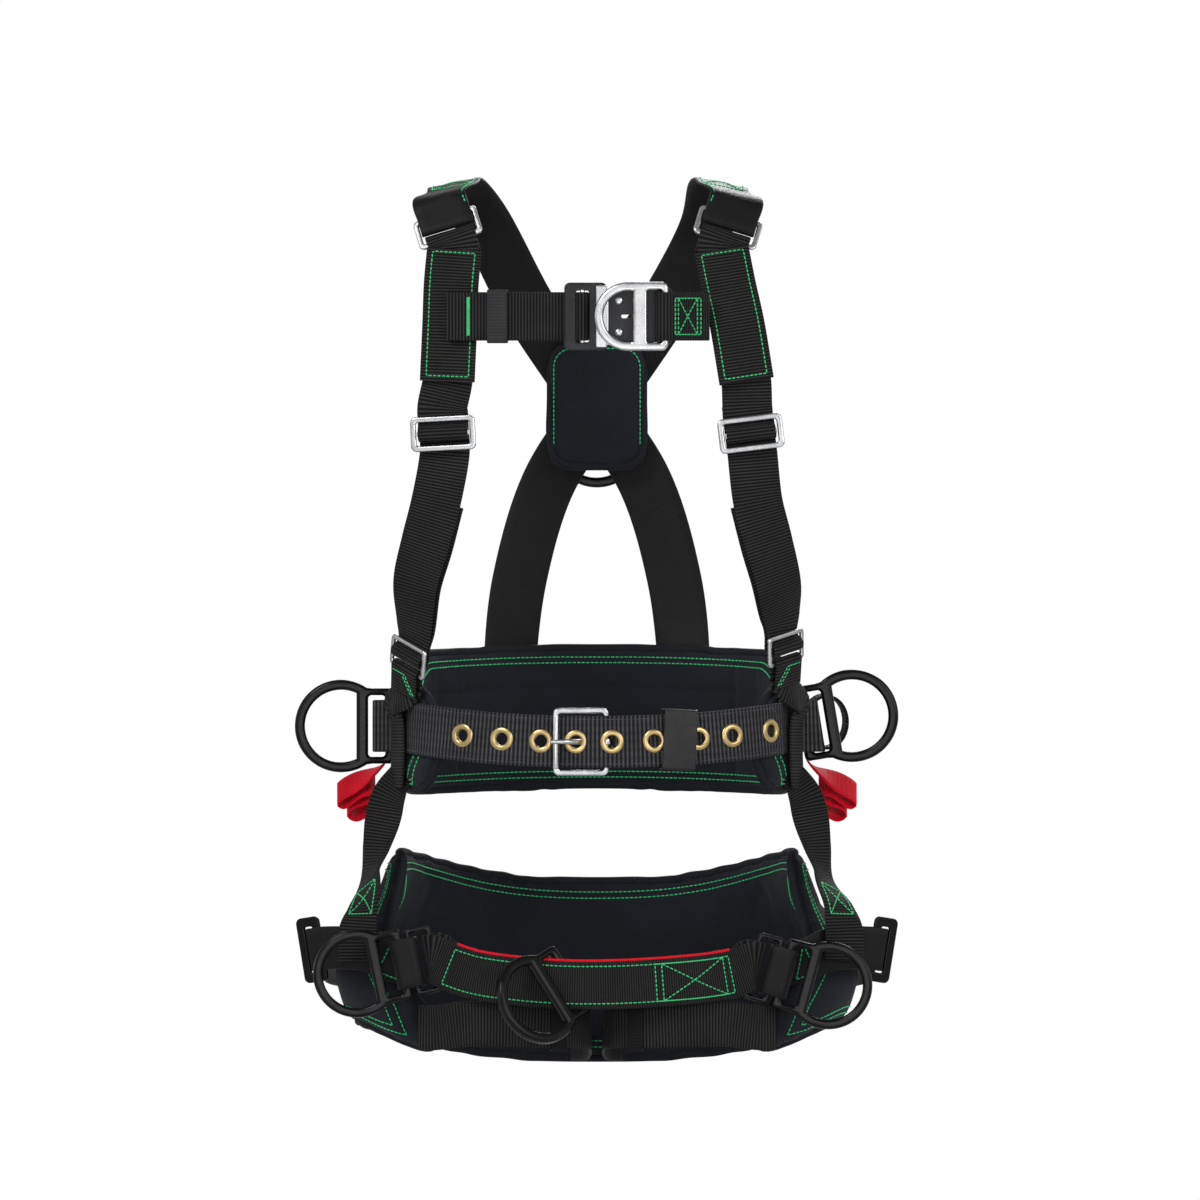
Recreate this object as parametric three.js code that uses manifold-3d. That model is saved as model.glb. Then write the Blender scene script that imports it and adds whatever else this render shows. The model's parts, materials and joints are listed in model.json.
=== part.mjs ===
// Tree climbing saddle: full-body arborist harness, millimetres, +Z up.
// The wearer faces -Y; +X is the wearer's left. The origin is the middle of the waist opening.
import * as THREE from 'three';
import Module from 'manifold-3d';
import { mergeVertices } from 'three/addons/utils/BufferGeometryUtils.js';

const wasm = await Module();
wasm.setup();

// ---- driving dimensions ----
const WEB = 44.5;              // width of the load webbing
const WEB_T = 2.2;             // thickness of the load webbing
const BELT_W = 46;             // width of the waist belt
const BELT_T = 2.8;            // thickness of one belt layer
const BELT_A = 175;            // half width of the belt loop, to the middle of the webbing
const BELT_B = 122;            // half depth of the belt loop
const SQUARE = 2.3;            // superellipse power of the waist and the seat
const RING_R = 41;             // outer radius of a D-ring
const RING_BAR = 9;            // bar width of a D-ring
const RING_SLOT = 43;          // eye centre to the middle of the slot bar
const HIP_RING = 0.95;         // hip rings against the side rings
const RING_Y = 15;             // depth of the side rings on the belt
const CHEST_Z = 370.5;         // height of the chest strap
const SHOULDER_LEAN = -8;      // sideways shift of the shoulder parts on the wearer
const GROMMETS = [-118.6, -84.1, -49.6, -18.6, 13.3, 50.4, 88.5, 117.7, 150.5];
const GROMMET_R = 10.6;        // outer radius of a grommet
const GROMMET_HOLE = 5.5;      // radius of its hole

// Small differences between the wearer's right and left hand sides.
const SIDES = [
  {
    name: 'right', s: -1, ringZ: 8, ringTilt: 0, hipX: 172.4, hipZ: -203, hipTilt: 11.5,
    linkZ: 69, linkSlope: -0.33, flapX: 212,
  },
  {
    name: 'left', s: 1, ringZ: 10, ringTilt: 9.5, hipX: 165.4, hipZ: -211, hipTilt: 15,
    linkZ: 77, linkSlope: -0.19, flapX: 219,
  },
];

const root = new THREE.Group();
root.name = 'tree_climbing_saddle';

const LOOKS = {
  webbing: [0x1d1d1f, 0.85, 0],
  belt: [0x3b3c41, 0.88, 0],
  pad: [0x23262c, 0.95, 0],
  elastic: [0x2c2c2f, 0.9, 0],
  red: [0xb5141e, 0.8, 0],
  steel: [0xc2c6ca, 0.3, 1],
  gunmetal: [0x3a3c3f, 0.45, 1],
  alloy: [0x141415, 0.4, 0.6],
  leather: [0x17171a, 0.6, 0],
  plastic: [0x1a1a1c, 0.55, 0],
};

function add(name, geometry, look) {
  const [color, roughness, metalness] = LOOKS[look];
  const material = new THREE.MeshStandardMaterial({ color, roughness, metalness });
  const mesh = new THREE.Mesh(geometry, material);
  mesh.name = name;
  root.add(mesh);
}

// ---- solids ----
function toManifold(geometry) {
  const bare = geometry.clone();
  bare.deleteAttribute('normal');
  bare.deleteAttribute('uv');
  const merged = mergeVertices(bare, 1e-3);
  return new wasm.Manifold(new wasm.Mesh({
    numProp: 3,
    vertProperties: new Float32Array(merged.attributes.position.array),
    triVerts: new Uint32Array(merged.index.array),
  }));
}

function fromManifold(solid) {
  const mesh = solid.getMesh();
  const geometry = new THREE.BufferGeometry();
  geometry.setAttribute('position', new THREE.Float32BufferAttribute(mesh.vertProperties, 3));
  geometry.setIndex([...mesh.triVerts]);
  geometry.computeVertexNormals();
  return geometry;
}

function union(...geometries) {
  return fromManifold(geometries.map(toManifold).reduce((a, b) => a.add(b)));
}

function subtract(first, ...others) {
  return fromManifold(others.map(toManifold).reduce((a, b) => a.subtract(b), toManifold(first)));
}

const V = (x, y, z) => new THREE.Vector3(x, y, z);
const rad = THREE.MathUtils.degToRad;
const smooth = (a, b, x) => THREE.MathUtils.smoothstep(x, a, b);

function bar(from, to, radius, sides = 12) {
  const line = to.clone().sub(from);
  const geometry = new THREE.CylinderGeometry(radius, radius, line.length(), sides);
  const turn = new THREE.Quaternion().setFromUnitVectors(V(0, 1, 0), line.clone().normalize());
  const middle = from.clone().add(to).multiplyScalar(0.5);
  return geometry.applyQuaternion(turn).translate(middle.x, middle.y, middle.z);
}

// Puts a flat part drawn in its own XY plane at a point, given its two drawing directions.
function place(geometry, origin, xDir, yDir) {
  const x = xDir.clone().normalize();
  const y = yDir.clone().addScaledVector(x, -yDir.dot(x)).normalize();
  const frame = new THREE.Matrix4().makeBasis(x, y, x.clone().cross(y));
  return geometry.applyMatrix4(frame.setPosition(origin));
}

function roundRect(path, width, height, r, x = 0, y = 0) {
  const w = width / 2 - r;
  const h = height / 2 - r;
  const corners = [[w, -h, -90], [w, h, 0], [-w, h, 90], [-w, -h, 180]];
  const points = corners.flatMap(([cx, cy, start]) => [0, 45, 90].map((step) => (
    new THREE.Vector2(x + cx + r * Math.cos(rad(start + step)), y + cy + r * Math.sin(rad(start + step)))
  )));
  return path.setFromPoints(points);
}

// A flat outline with holes, given thickness and a small bevel, centred on its own plane.
function plate(outline, holes, thickness, bevel = 0.8, curveSegments = 2) {
  outline.holes = holes;
  const geometry = new THREE.ExtrudeGeometry(outline, {
    depth: thickness - 2 * bevel,
    bevelEnabled: true,
    bevelThickness: bevel,
    bevelSize: bevel,
    bevelOffset: -bevel,
    bevelSegments: 1,
    curveSegments,
  });
  return geometry.translate(0, 0, bevel - thickness / 2);
}

// ---- webbing ----
// Width direction of a strap that faces the given way: 0 the front, 90 its own side, 180 the back.
function across(s, degrees, rise = 0) {
  return V(s * Math.cos(rad(degrees)), Math.sin(rad(degrees)), rise).normalize();
}

// Smooth path through controls [point, width direction].
function through(controls, count) {
  const spine = new THREE.CatmullRomCurve3(controls.map((c) => c[0]));
  const edge = controls.map((c) => c[0].clone().addScaledVector(c[1], 20));
  const side = new THREE.CatmullRomCurve3(edge);
  const path = [];
  for (let i = 0; i <= count; i += 1) {
    const p = spine.getPoint(i / count);
    path.push({ p, w: side.getPoint(i / count).sub(p) });
  }
  return path;
}

// Flat band swept along a path of {p, w}; w is the direction of its width.
// The width is a number, or a function of the point.
function ribbon(path, width = WEB, thickness = WEB_T, closed = false) {
  const points = [];
  const index = [];
  const count = path.length;
  path.forEach(({ p, w }, i) => {
    const before = path[closed ? (i - 1 + count) % count : Math.max(i - 1, 0)].p;
    const after = path[closed ? (i + 1) % count : Math.min(i + 1, count - 1)].p;
    const t = after.clone().sub(before).normalize();
    const u = w.clone().addScaledVector(t, -w.dot(t)).normalize();
    const n = t.clone().cross(u);
    const wide = typeof width === 'function' ? width(p) : width;
    for (const [a, b] of [[-1, -1], [1, -1], [1, 1], [-1, 1]]) {
      const corner = p.clone().addScaledVector(u, (a * wide) / 2);
      corner.addScaledVector(n, (b * thickness) / 2);
      points.push(corner.x, corner.y, corner.z);
    }
  });
  const spans = closed ? count : count - 1;
  for (let i = 0; i < spans; i += 1) {
    const a = i * 4;
    const b = ((i + 1) % count) * 4;
    for (let k = 0; k < 4; k += 1) {
      const m = (k + 1) % 4;
      index.push(a + k, a + m, b + m, a + k, b + m, b + k);
    }
  }
  if (!closed) {
    const e = (count - 1) * 4;
    index.push(0, 2, 1, 0, 3, 2, e, e + 1, e + 2, e, e + 2, e + 3);
  }
  const geometry = new THREE.BufferGeometry();
  geometry.setAttribute('position', new THREE.Float32BufferAttribute(points, 3));
  geometry.setIndex(index);
  return geometry;
}

// Closed band of webbing round two bars; the band's width runs along the bars.
function barLoop(a, b, axis, radius, width, thickness = WEB_T, steps = 6) {
  const along = b.clone().sub(a).normalize();
  const up = axis.clone().addScaledVector(along, -axis.dot(along)).normalize();
  const out = up.clone().cross(along);
  const path = [];
  for (const [centre, start] of [[b, -90], [a, 90]]) {
    for (let i = 0; i <= steps; i += 1) {
      const angle = rad(start + (180 * i) / steps);
      const p = centre.clone().addScaledVector(along, Math.cos(angle) * (radius + thickness / 2));
      path.push({ p: p.addScaledVector(out, Math.sin(angle) * (radius + thickness / 2)), w: up });
    }
  }
  return ribbon(path, width, thickness, true);
}

// Rectangular band round a strap: width and height of its opening, length along the strap.
function keeper(width, height, length, wall) {
  const outline = roundRect(new THREE.Shape(), width + 2 * wall, height + 2 * wall, wall);
  const hole = roundRect(new THREE.Path(), width, height, height * 0.1);
  return plate(outline, [hole], length, 0.3, 2);
}

// ---- the belt loop: t is 0 at the front, 90 at the wearer's left, 180 at the back ----
function beltHeight(t) {
  const c = Math.cos(t);
  return c > 0 ? 8 - 14 * c * c : 8 + 6 * c * c;
}

function loopPoint(degrees, a, b, z, offset) {
  const t = rad(degrees);
  const x = Math.sign(Math.sin(t)) * Math.abs(Math.sin(t)) ** (2 / SQUARE);
  const y = -Math.sign(Math.cos(t)) * Math.abs(Math.cos(t)) ** (2 / SQUARE);
  const nx = (Math.sign(x) * Math.abs(x) ** (SQUARE - 1)) / a;
  const ny = (Math.sign(y) * Math.abs(y) ** (SQUARE - 1)) / b;
  return V(x * a, y * b, z).addScaledVector(V(nx, ny, 0).normalize(), offset);
}

function beltPoint(degrees, offset = 0, lift = 0) {
  return loopPoint(degrees, BELT_A, BELT_B, beltHeight(rad(degrees)) + lift, offset);
}

// Evenly spaced points of the belt between two angles.
function beltRun(from, to, offsetAt, spacing = 7) {
  const fine = [];
  const count = Math.ceil(Math.abs(to - from) * 4);
  for (let i = 0; i <= count; i += 1) {
    const t = from + ((to - from) * i) / count;
    fine.push(beltPoint(t, offsetAt(beltPoint(t))));
  }
  const curve = new THREE.CatmullRomCurve3(fine);
  curve.arcLengthDivisions = count * 2;
  const stations = Math.round(curve.getLength() / spacing);
  return curve.getSpacedPoints(stations).map((p) => ({ p, w: ringLean(p) }));
}

// How far the belt stands off the pad where it passes through a side ring.
function ringBulge(p) {
  const stand = p.x > 100 ? 16.8 : 15.4;
  return Math.abs(p.x) > 100 ? stand * (1 - smooth(9, 27, Math.abs(p.y - RING_Y))) : 0;
}

// The belt leans with the ring that it passes through.
function ringLean(p) {
  const lean = p.x > 100 ? rad(SIDES[1].ringTilt) * (1 - smooth(9, 20, Math.abs(p.y - RING_Y))) : 0;
  return V(-Math.sin(lean), 0, Math.cos(lean));
}

// ---- metal parts ----
// D-ring drawn with its round eye at the origin and its webbing slot toward +x.
function dRing(scale = 1) {
  const outline = new THREE.Shape();
  const shoulder = rad(56);
  const end = RING_SLOT + 4;
  outline.absarc(0, 0, RING_R, shoulder, 2 * Math.PI - shoulder, false);
  outline.lineTo(32, -33.4);
  outline.lineTo(end - 3, -33.4);
  outline.lineTo(end, -30.4);
  outline.lineTo(end, 30.4);
  outline.lineTo(end - 3, 33.4);
  outline.lineTo(32, 33.4);
  outline.closePath();
  const eye = new THREE.Path();
  const chord = Math.acos(15.5 / (RING_R - RING_BAR));
  eye.absarc(0, 0, RING_R - RING_BAR, chord, 2 * Math.PI - chord, false);
  eye.closePath();
  const slot = roundRect(new THREE.Path(), 15, 54.4, 3, 31.5, 0);
  return plate(outline, [eye, slot], RING_BAR, 2.2, 11).scale(scale, scale, scale);
}

// Rectangular link: outer size, bar width, thickness, and an optional middle bar.
function wireLink(width, height, wire, thickness, middleBar = false) {
  const outline = roundRect(new THREE.Shape(), width, height, wire);
  const inner = height - 2 * wire;
  const one = [roundRect(new THREE.Path(), width - 2 * wire, inner, 1.6)];
  const two = [-1, 1].map((k) => roundRect(new THREE.Path(), width - 2 * wire, (inner - wire) / 2,
    1.2, 0, (k * (inner + wire)) / 4));
  return plate(outline, middleBar ? two : one, thickness, thickness * 0.25);
}

// Local frame of a link: u runs up its plane, w along its bars, n out of its face.
function linkFrame(origin, up, width) {
  const w = width.clone().normalize();
  const u = up.clone().addScaledVector(w, -up.dot(w)).normalize();
  const n = u.clone().cross(w);
  if (n.y > 0) n.negate();
  return { origin, u, w, n, at: (a, b) => origin.clone().addScaledVector(u, a).addScaledVector(n, b) };
}

// ---- shoulders ----
function shoulderFrame({ s }) {
  const lean = SHOULDER_LEAN;
  return linkFrame(V(s * 124 + lean, -68, 449), V(0, 0.45, 0.89), V(s * 0.955, 0, -0.29));
}

function shoulderRegion(side) {
  const { name, s } = side;
  const lean = SHOULDER_LEAN;
  const f = shoulderFrame(side);
  add(`shoulder_link_${name}`, place(wireLink(58, 29, 4.6, 3.6), f.origin, f.w, f.u), 'steel');

  // Rear strap: folded round the upper bar, over the shoulder, across the back to the belt.
  const cross = s > 0 ? 5.6 : 0;
  const w = f.w;
  const rear = through([
    [f.at(33, -2.6), w],
    [f.at(16, -3.4), w],
    [f.at(4, -3), w],
    [f.at(1.5, 0.6), w],
    [f.at(6, 3.7), w],
    [f.at(16, 3.8), w],
    [f.at(30, 2.2), w],
    [V(s * 120 + lean, -30, 484.5), across(s, 0, -0.25)],
    [V(s * 118 + lean, -2, 488), across(s, 0, -0.2)],
    [V(s * 112 + lean, 36, 482), across(s, -6, -0.2)],
    [V(s * 95, 84, 445), across(s, -22, -0.1)],
    [V(s * 60, 116, 378), across(s, -10, 0.3)],
    [V(s * 8, 130 + cross, 300), across(s, 0, 0.45)],
    [V(-s * 42, 130 + cross, 225), across(s, 0, 0.4)],
    [V(-s * 68, 125, 140), across(s, 4, 0.2)],
    [beltPoint(-s * 157.5, 0.9, 62), across(s, 12)],
    [beltPoint(-s * 157.5, 0.6, 35), across(s, 12)],
  ], 50);
  add(`rear_shoulder_strap_${name}`, ribbon(rear, 48), 'webbing');

  // Front strap: folded round the lower bar, down over the chest and round the adjuster bar.
  const a = adjusterFrame(side);
  const front = through([
    [f.at(-30, -3.8), w],
    [f.at(-16, -3.2), w],
    [f.at(-8.2, -2.8), w],
    [f.at(-7.9, 0.8), w],
    [f.at(-11, 3.5), w],
    [f.at(-20, 2.8), across(s, 4, -0.1)],
    [V(s * 122.5 + lean * 0.8, -89, 400), across(s, 6)],
    [V(s * 127 + lean * 0.4, -97, 365), across(s, 6)],
    [V(s * 132, -101.5, 315), across(s, 6)],
    [a.at(22, -4.2), a.w],
    [a.at(10.5, -3.9), a.w],
    [a.at(5.6, -0.6), a.w],
    [a.at(3.7, 2.6), a.w],
    [a.at(0, 3.4), a.w],
    [a.at(-3.7, 2.6), a.w],
    [a.at(-5.6, -0.6), a.w],
    [a.at(-5, -4.6), a.w],
    [a.at(0, -6.8), a.w],
    [a.at(12, -6.9), a.w],
    [a.at(26, -7), a.w],
  ], 66);
  add(`front_shoulder_strap_${name}`, ribbon(front, WEB), 'webbing');

  const patch = through([
    [f.at(-26, 6.2), across(s, 4, -0.1)],
    [V(s * 122.5 + lean * 0.8, -94.2, 400), across(s, 6)],
    [V(s * 127 + lean * 0.4, -102.6, 365), across(s, 6)],
    [V(s * 132.5, -107, 313), across(s, 6)],
  ], 16);
  add(`chest_patch_${name}`, ribbon(patch, WEB + 1, 1.8), 'webbing');
}

// ---- torso adjusters and lower links ----
function adjusterFrame({ s }) {
  return linkFrame(V(s * 136.3, -105.5, 267), V(-s * 0.08, 0, 1), across(s, 6, s > 0 ? 0.122 : -0.052));
}

function lowerFrame({ s, linkZ, linkSlope }) {
  const w = across(s, 55, -linkSlope);
  return linkFrame(V(s * 167, -62, linkZ), V(-s * 0.1, -0.35, 0.93), w);
}

function torsoRegion(side) {
  const { name, s } = side;
  const a = adjusterFrame(side);
  const f = lowerFrame(side);
  add(`strap_adjuster_${name}`, place(wireLink(58, 31, 5.2, 4), a.origin, a.w, a.u), 'steel');
  const slider = plate(roundRect(new THREE.Shape(), 46.6, 5.4, 1.5), [], 3, 0.6);
  add(`adjuster_bar_${name}`, place(slider, a.origin, a.w, a.u), 'steel');
  const link = wireLink(54, 28, 4.2, 3.4, true);
  add(`lower_link_${name}`, place(link, f.origin, f.w, f.u), 'steel');

  // Torso strap: behind the adjuster, down to the link, round its middle bar and back up.
  const strap = through([
    [a.at(20, -9.9), a.w],
    [a.at(0, -9.9), a.w],
    [a.at(-16, -8.5), a.w],
    [V(s * 142.5, -99, 206), across(s, 10)],
    [V(s * 152, -93, 170), across(s, 18)],
    [V(s * 161, -83, 134), across(s, 30, 0.1)],
    [f.at(28, -3.5), across(s, 46, -f.w.z * -0.8)],
    [f.at(11, -3.5), f.w],
    [f.at(5.6, -0.4), f.w],
    [f.at(3.5, 2.9), f.w],
    [f.at(0, 3.7), f.w],
    [f.at(-3, 2.9), f.w],
    [f.at(-4.3, 0), f.w],
    [f.at(-4.4, -3.6), f.w],
    [f.at(2, -6.8), f.w],
    [f.at(14, -7), f.w],
    [f.at(28, -7.4), across(s, 46, -f.w.z * -0.8)],
    [V(s * 157, -77, 134), across(s, 30, 0.1)],
    [V(s * 148, -86.5, 170), across(s, 18)],
    [V(s * 139.5, -93, 206), across(s, 10)],
  ], 68);
  add(`torso_strap_${name}`, ribbon(strap, WEB), 'webbing');

  // Riser: folded round the lower bar of the link, then over the belt to the pad's lower edge.
  const t = s * 78;
  const tall = across(s, 74);
  const riser = through([
    [f.at(-34, 1.8), f.w],
    [f.at(-18, 3), f.w],
    [f.at(-11.4, 3.4), f.w],
    [f.at(-8.4, 2.2), f.w],
    [f.at(-7.9, -0.4), f.w],
    [f.at(-9.4, -3.2), f.w],
    [f.at(-18, -3.3), f.w],
    [f.at(-28, -2.8), f.w],
    [beltPoint(t, 10.7, 19), tall],
    [beltPoint(t, 6, 7), tall],
    [beltPoint(t, 4.6, -15), tall],
    [beltPoint(t, 5, -36), tall],
    [beltPoint(t, 6.4, -54), tall],
  ], 48);
  add(`belt_riser_${name}`, ribbon(riser, 39), 'webbing');
}

// ---- chest strap ----
function chestRegion() {
  const up = V(0, 0, 1);
  const w = V(0, 0, 1);
  const z = CHEST_Z;
  // Adjustable half: looped over the right patch, through the buckle frame round its roller.
  const right = through([
    [V(-104, -110.4, z), w],
    [V(-118, -109.4, z), w],
    [V(-129, -108.6, z), w],
    [V(-132, -110.4, z), w],
    [V(-129, -112.2, z), w],
    [V(-104, -114.2, z), w],
    [V(-75, -120, z), w],
    [V(-48, -124.6, z), w],
    [V(-26, -125.5, z), w],
    [V(-18.6, -128.4, z), w],
    [V(-17.2, -133, z), w],
    [V(-13, -135.8, z), w],
    [V(-8.8, -133, z), w],
    [V(-8.4, -128.6, z), w],
    [V(-12, -124.2, z), w],
    [V(-24, -122.4, z), w],
    [V(-50, -121, z), w],
  ], 56);
  add('chest_strap_right', ribbon(right, 43), 'webbing');
  const band = keeper(43.6, 3.8, 18, 2);
  add('chest_keeper', place(band, V(-88, -117.5, z), V(0, 0, 1), V(0.2, 1, 0)), 'elastic');
  add('chest_buckle_frame', place(
    plate(roundRect(new THREE.Shape(), 38, 60, 5), [
      roundRect(new THREE.Path(), 19, 48, 2, -2.5, 0),
    ], 5, 1.2),
    V(-10, -130.6, z), V(1, 0, 0), up,
  ), 'gunmetal');
  add('chest_buckle_roller', bar(V(-13, -131.6, z - 23.6), V(-13, -131.6, z + 23.6), 2.2), 'steel');
  const lip = plate(roundRect(new THREE.Shape(), 10, 55, 1.5), [], 3, 0.6);
  add('chest_latch_plate', place(lip, V(4, -135.4, z), V(1, 0, 0), up), 'steel');
  const base = plate(roundRect(new THREE.Shape(), 56, 52, 3), [
    roundRect(new THREE.Path(), 6, 44.6, 1.5, 16, 0),
  ], 3.2, 0.7);
  const rivets = [-14, 14].map((dz) => bar(V(19.5, -135.8, z + dz), V(19.5, -139.6, z + dz), 3.4));
  add('chest_buckle_tongue', union(place(base, V(38, -135, z), V(1, 0, 0), up), ...rivets), 'gunmetal');
  add('chest_d_ring', place(chestRing(), V(31, -143.2, z), V(1, 0, 0), up), 'steel');
  const left = through([
    [V(98, -112, z), w],
    [V(80, -123.4, z), w],
    [V(64, -131, z), w],
    [V(56.5, -132.4, z), w],
    [V(54, -136, z), w],
    [V(54, -144.5, z), w],
    [V(57.5, -148.4, z), w],
    [V(64, -147.6, z), w],
    [V(72, -140, z), w],
    [V(84, -127.6, z), w],
    [V(99, -115.4, z), w],
  ], 34);
  add('chest_strap_left', ribbon(left, 43), 'webbing');
}

// Chest ring: round eye at the origin side -x, straight bar, and a flange with a webbing slot.
function chestRing() {
  const outline = new THREE.Shape();
  outline.absarc(-3, 0, 30.5, rad(90), rad(270), false);
  outline.lineTo(28, -30.5);
  outline.lineTo(32, -26);
  outline.lineTo(32, 26);
  outline.lineTo(28, 30.5);
  outline.closePath();
  const eye = new THREE.Path();
  eye.absarc(-3, 0, 22.5, rad(80), rad(280), false);
  eye.closePath();
  return plate(outline, [eye, roundRect(new THREE.Path(), 13, 46.5, 2, 20, 0)], 7, 2, 10);
}

// ---- back ----
function dorsalRegion() {
  const soft = plate(roundRect(new THREE.Shape(), 92, 120, 22), [], 9, 2.5, 4);
  add('dorsal_pad', place(soft, V(0, 114, 290), V(1, 0, 0), V(0, -0.05, 1)), 'pad');
  const hard = plate(roundRect(new THREE.Shape(), 74, 66, 12), [
    roundRect(new THREE.Path(), 50, 7, 2, 0, 12),
    roundRect(new THREE.Path(), 50, 7, 2, 0, -6),
  ], 3.4, 0.8, 3);
  const f = linkFrame(V(0, 145.4, 300), V(0, 0, 1), V(1, 0, 0));
  add('dorsal_plate', place(hard, f.origin, V(1, 0, 0), V(0, 0, 1)), 'plastic');
  const hinge = V(0, 153.4, 303);
  add('dorsal_loop', dorsalLoop(), 'webbing');
  const ring = dRing();
  add('dorsal_d_ring', place(ring, hinge.add(V(0, 0, -RING_SLOT)), V(0, 0, 1), V(1, 0, 0)), 'alloy');
}

// Webbing that holds the dorsal ring: out of the upper slot of the plate and in at the lower one.
function dorsalLoop() {
  const w = V(1, 0, 0);
  return ribbon(through([
    [V(0, 141.6, 328), w],
    [V(0, 141.6, 317), w],
    [V(0, 144.4, 313), w],
    [V(0, 154, 311.4), w],
    [V(0, 160.6, 303), w],
    [V(0, 154, 294.6), w],
    [V(0, 144.4, 293.6), w],
    [V(0, 141.6, 290), w],
    [V(0, 141.6, 280), w],
  ], 30), WEB, WEB_T);
}

// ---- waist belt ----
function waistPad() {
  const from = 54;
  const to = 306;
  const columns = 34;
  const rings = [];
  let length = 0;
  const middle = [];
  for (let i = 0; i <= columns; i += 1) {
    middle.push(beltPoint(from + ((to - from) * i) / columns));
    if (i) length += middle[i].distanceTo(middle[i - 1]);
  }
  let run = 0;
  for (let i = 0; i <= columns; i += 1) {
    if (i) run += middle[i].distanceTo(middle[i - 1]);
    const end = Math.min(run, length - run);
    const t = from + ((to - from) * i) / columns;
    const back = smooth(60, 150, end);
    const round = Math.sqrt(Math.max(0.12, 1 - Math.max(0, 1 - end / 30) ** 2));
    const half = (47 + 16 * back) * round;
    const z = -10 + 12 * back;
    const thin = 1.7;
    rings.push([[half - 4, -thin], [half, -thin - 4], [half - 2, -13.4], [half - 7, -15.6]]
      .flatMap(([h, o]) => [[h, o]])
      .concat([[-(half - 7), -15.6], [-(half - 2), -13.4], [-half, -thin - 4], [-(half - 4), -thin]])
      .map(([h, o]) => beltPoint(t, o, z + h)));
  }
  return skin(rings);
}

// Closed solid through equal rings of points; the two end rings are capped flat.
function skin(rings) {
  const n = rings[0].length;
  const points = rings.flat().flatMap((p) => [p.x, p.y, p.z]);
  const index = [];
  for (let i = 0; i + 1 < rings.length; i += 1) {
    for (let k = 0; k < n; k += 1) {
      const a = i * n + k;
      const b = i * n + ((k + 1) % n);
      index.push(a, b, b + n, a, b + n, a + n);
    }
  }
  const e = (rings.length - 1) * n;
  for (let k = 1; k + 1 < n; k += 1) {
    index.push(0, k + 1, k, e, e + k, e + k + 1);
  }
  const geometry = new THREE.BufferGeometry();
  geometry.setAttribute('position', new THREE.Float32BufferAttribute(points, 3));
  geometry.setIndex(index);
  const solid = toManifold(geometry);
  if (solid.volume() < 0) {
    for (let i = 0; i < index.length; i += 3) {
      [index[i + 1], index[i + 2]] = [index[i + 2], index[i + 1]];
    }
    geometry.setIndex(index);
  }
  return geometry;
}

function frontY(x, offset) {
  const y = BELT_B * (1 - Math.abs(x / BELT_A) ** SQUARE) ** (1 / SQUARE);
  return -y - offset;
}

function frontZ(x) {
  const cos = (1 - Math.abs(x / BELT_A) ** SQUARE) ** 0.5;
  return 8 - 14 * cos * cos;
}

// How far the tongue stands off the belt line: it climbs over the buckle's bar and the base belt.
function tongueOffset(p) {
  return p.y < 0 ? 3.3 * smooth(-30, 4, p.x) : 0;
}

function beltRegion() {
  const pivot = V(8, frontY(8, -3.7), frontZ(8));
  const w = V(0, 0, 1);
  const fold = [];
  for (const [x, o] of [[52, -7.5], [38, -7.5], [24, -7.5], [13, -7.5], [8, -7.4], [3.8, -5.8],
    [3.6, -2.2], [6.6, -0.2], [11, 0]]) {
    fold.push({ p: V(x, frontY(x, o), frontZ(x)), w });
  }
  const loop = beltRun(6.5, 284, ringBulge, 6);
  const base = ribbon(fold.concat(loop.slice(1)), BELT_W, BELT_T);
  const slot = new THREE.BoxGeometry(26, 14, 7.4).translate(3, pivot.y, pivot.z);
  add('belt_base_strap', subtract(base, slot), 'belt');

  const run = beltRun(-73, 65.4, tongueOffset, 9);
  const grommets = GROMMETS.map((x) => {
    const t = (Math.sign(x) * Math.asin(Math.abs(x / BELT_A) ** (SQUARE / 2)) * 180) / Math.PI;
    const here = beltPoint(t, tongueOffset(V(x, -1, 0)));
    const out = beltPoint(t, 10).sub(beltPoint(t)).normalize();
    return { here, out };
  });
  const rims = grommets.map(({ here, out }) => bar(here.clone().addScaledVector(out, -1.5),
    here.clone().addScaledVector(out, 2.7), GROMMET_R, 12));
  const holes = grommets.map(({ here, out }) => bar(here.clone().addScaledVector(out, -9),
    here.clone().addScaledVector(out, 9), GROMMET_HOLE, 10));
  add('belt_tongue_strap', subtract(union(ribbon(run, BELT_W, BELT_T), ...rims), ...holes), 'belt');
  beltBuckle(pivot);
  const at = 72;
  const k = V(at, frontY(at, 2.2), frontZ(at));
  const along = V(at + 5, frontY(at + 5, 0), frontZ(at + 5)).sub(V(at - 5, frontY(at - 5, 0), frontZ(at - 5)));
  const up = V(0.05, 0, 1);
  const side = along.clone().cross(up);
  const loopBand = keeper(BELT_W + 3.6, 12, 30, 2.2);
  add('belt_keeper', place(loopBand, k, up, side), 'leather');
}

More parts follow.
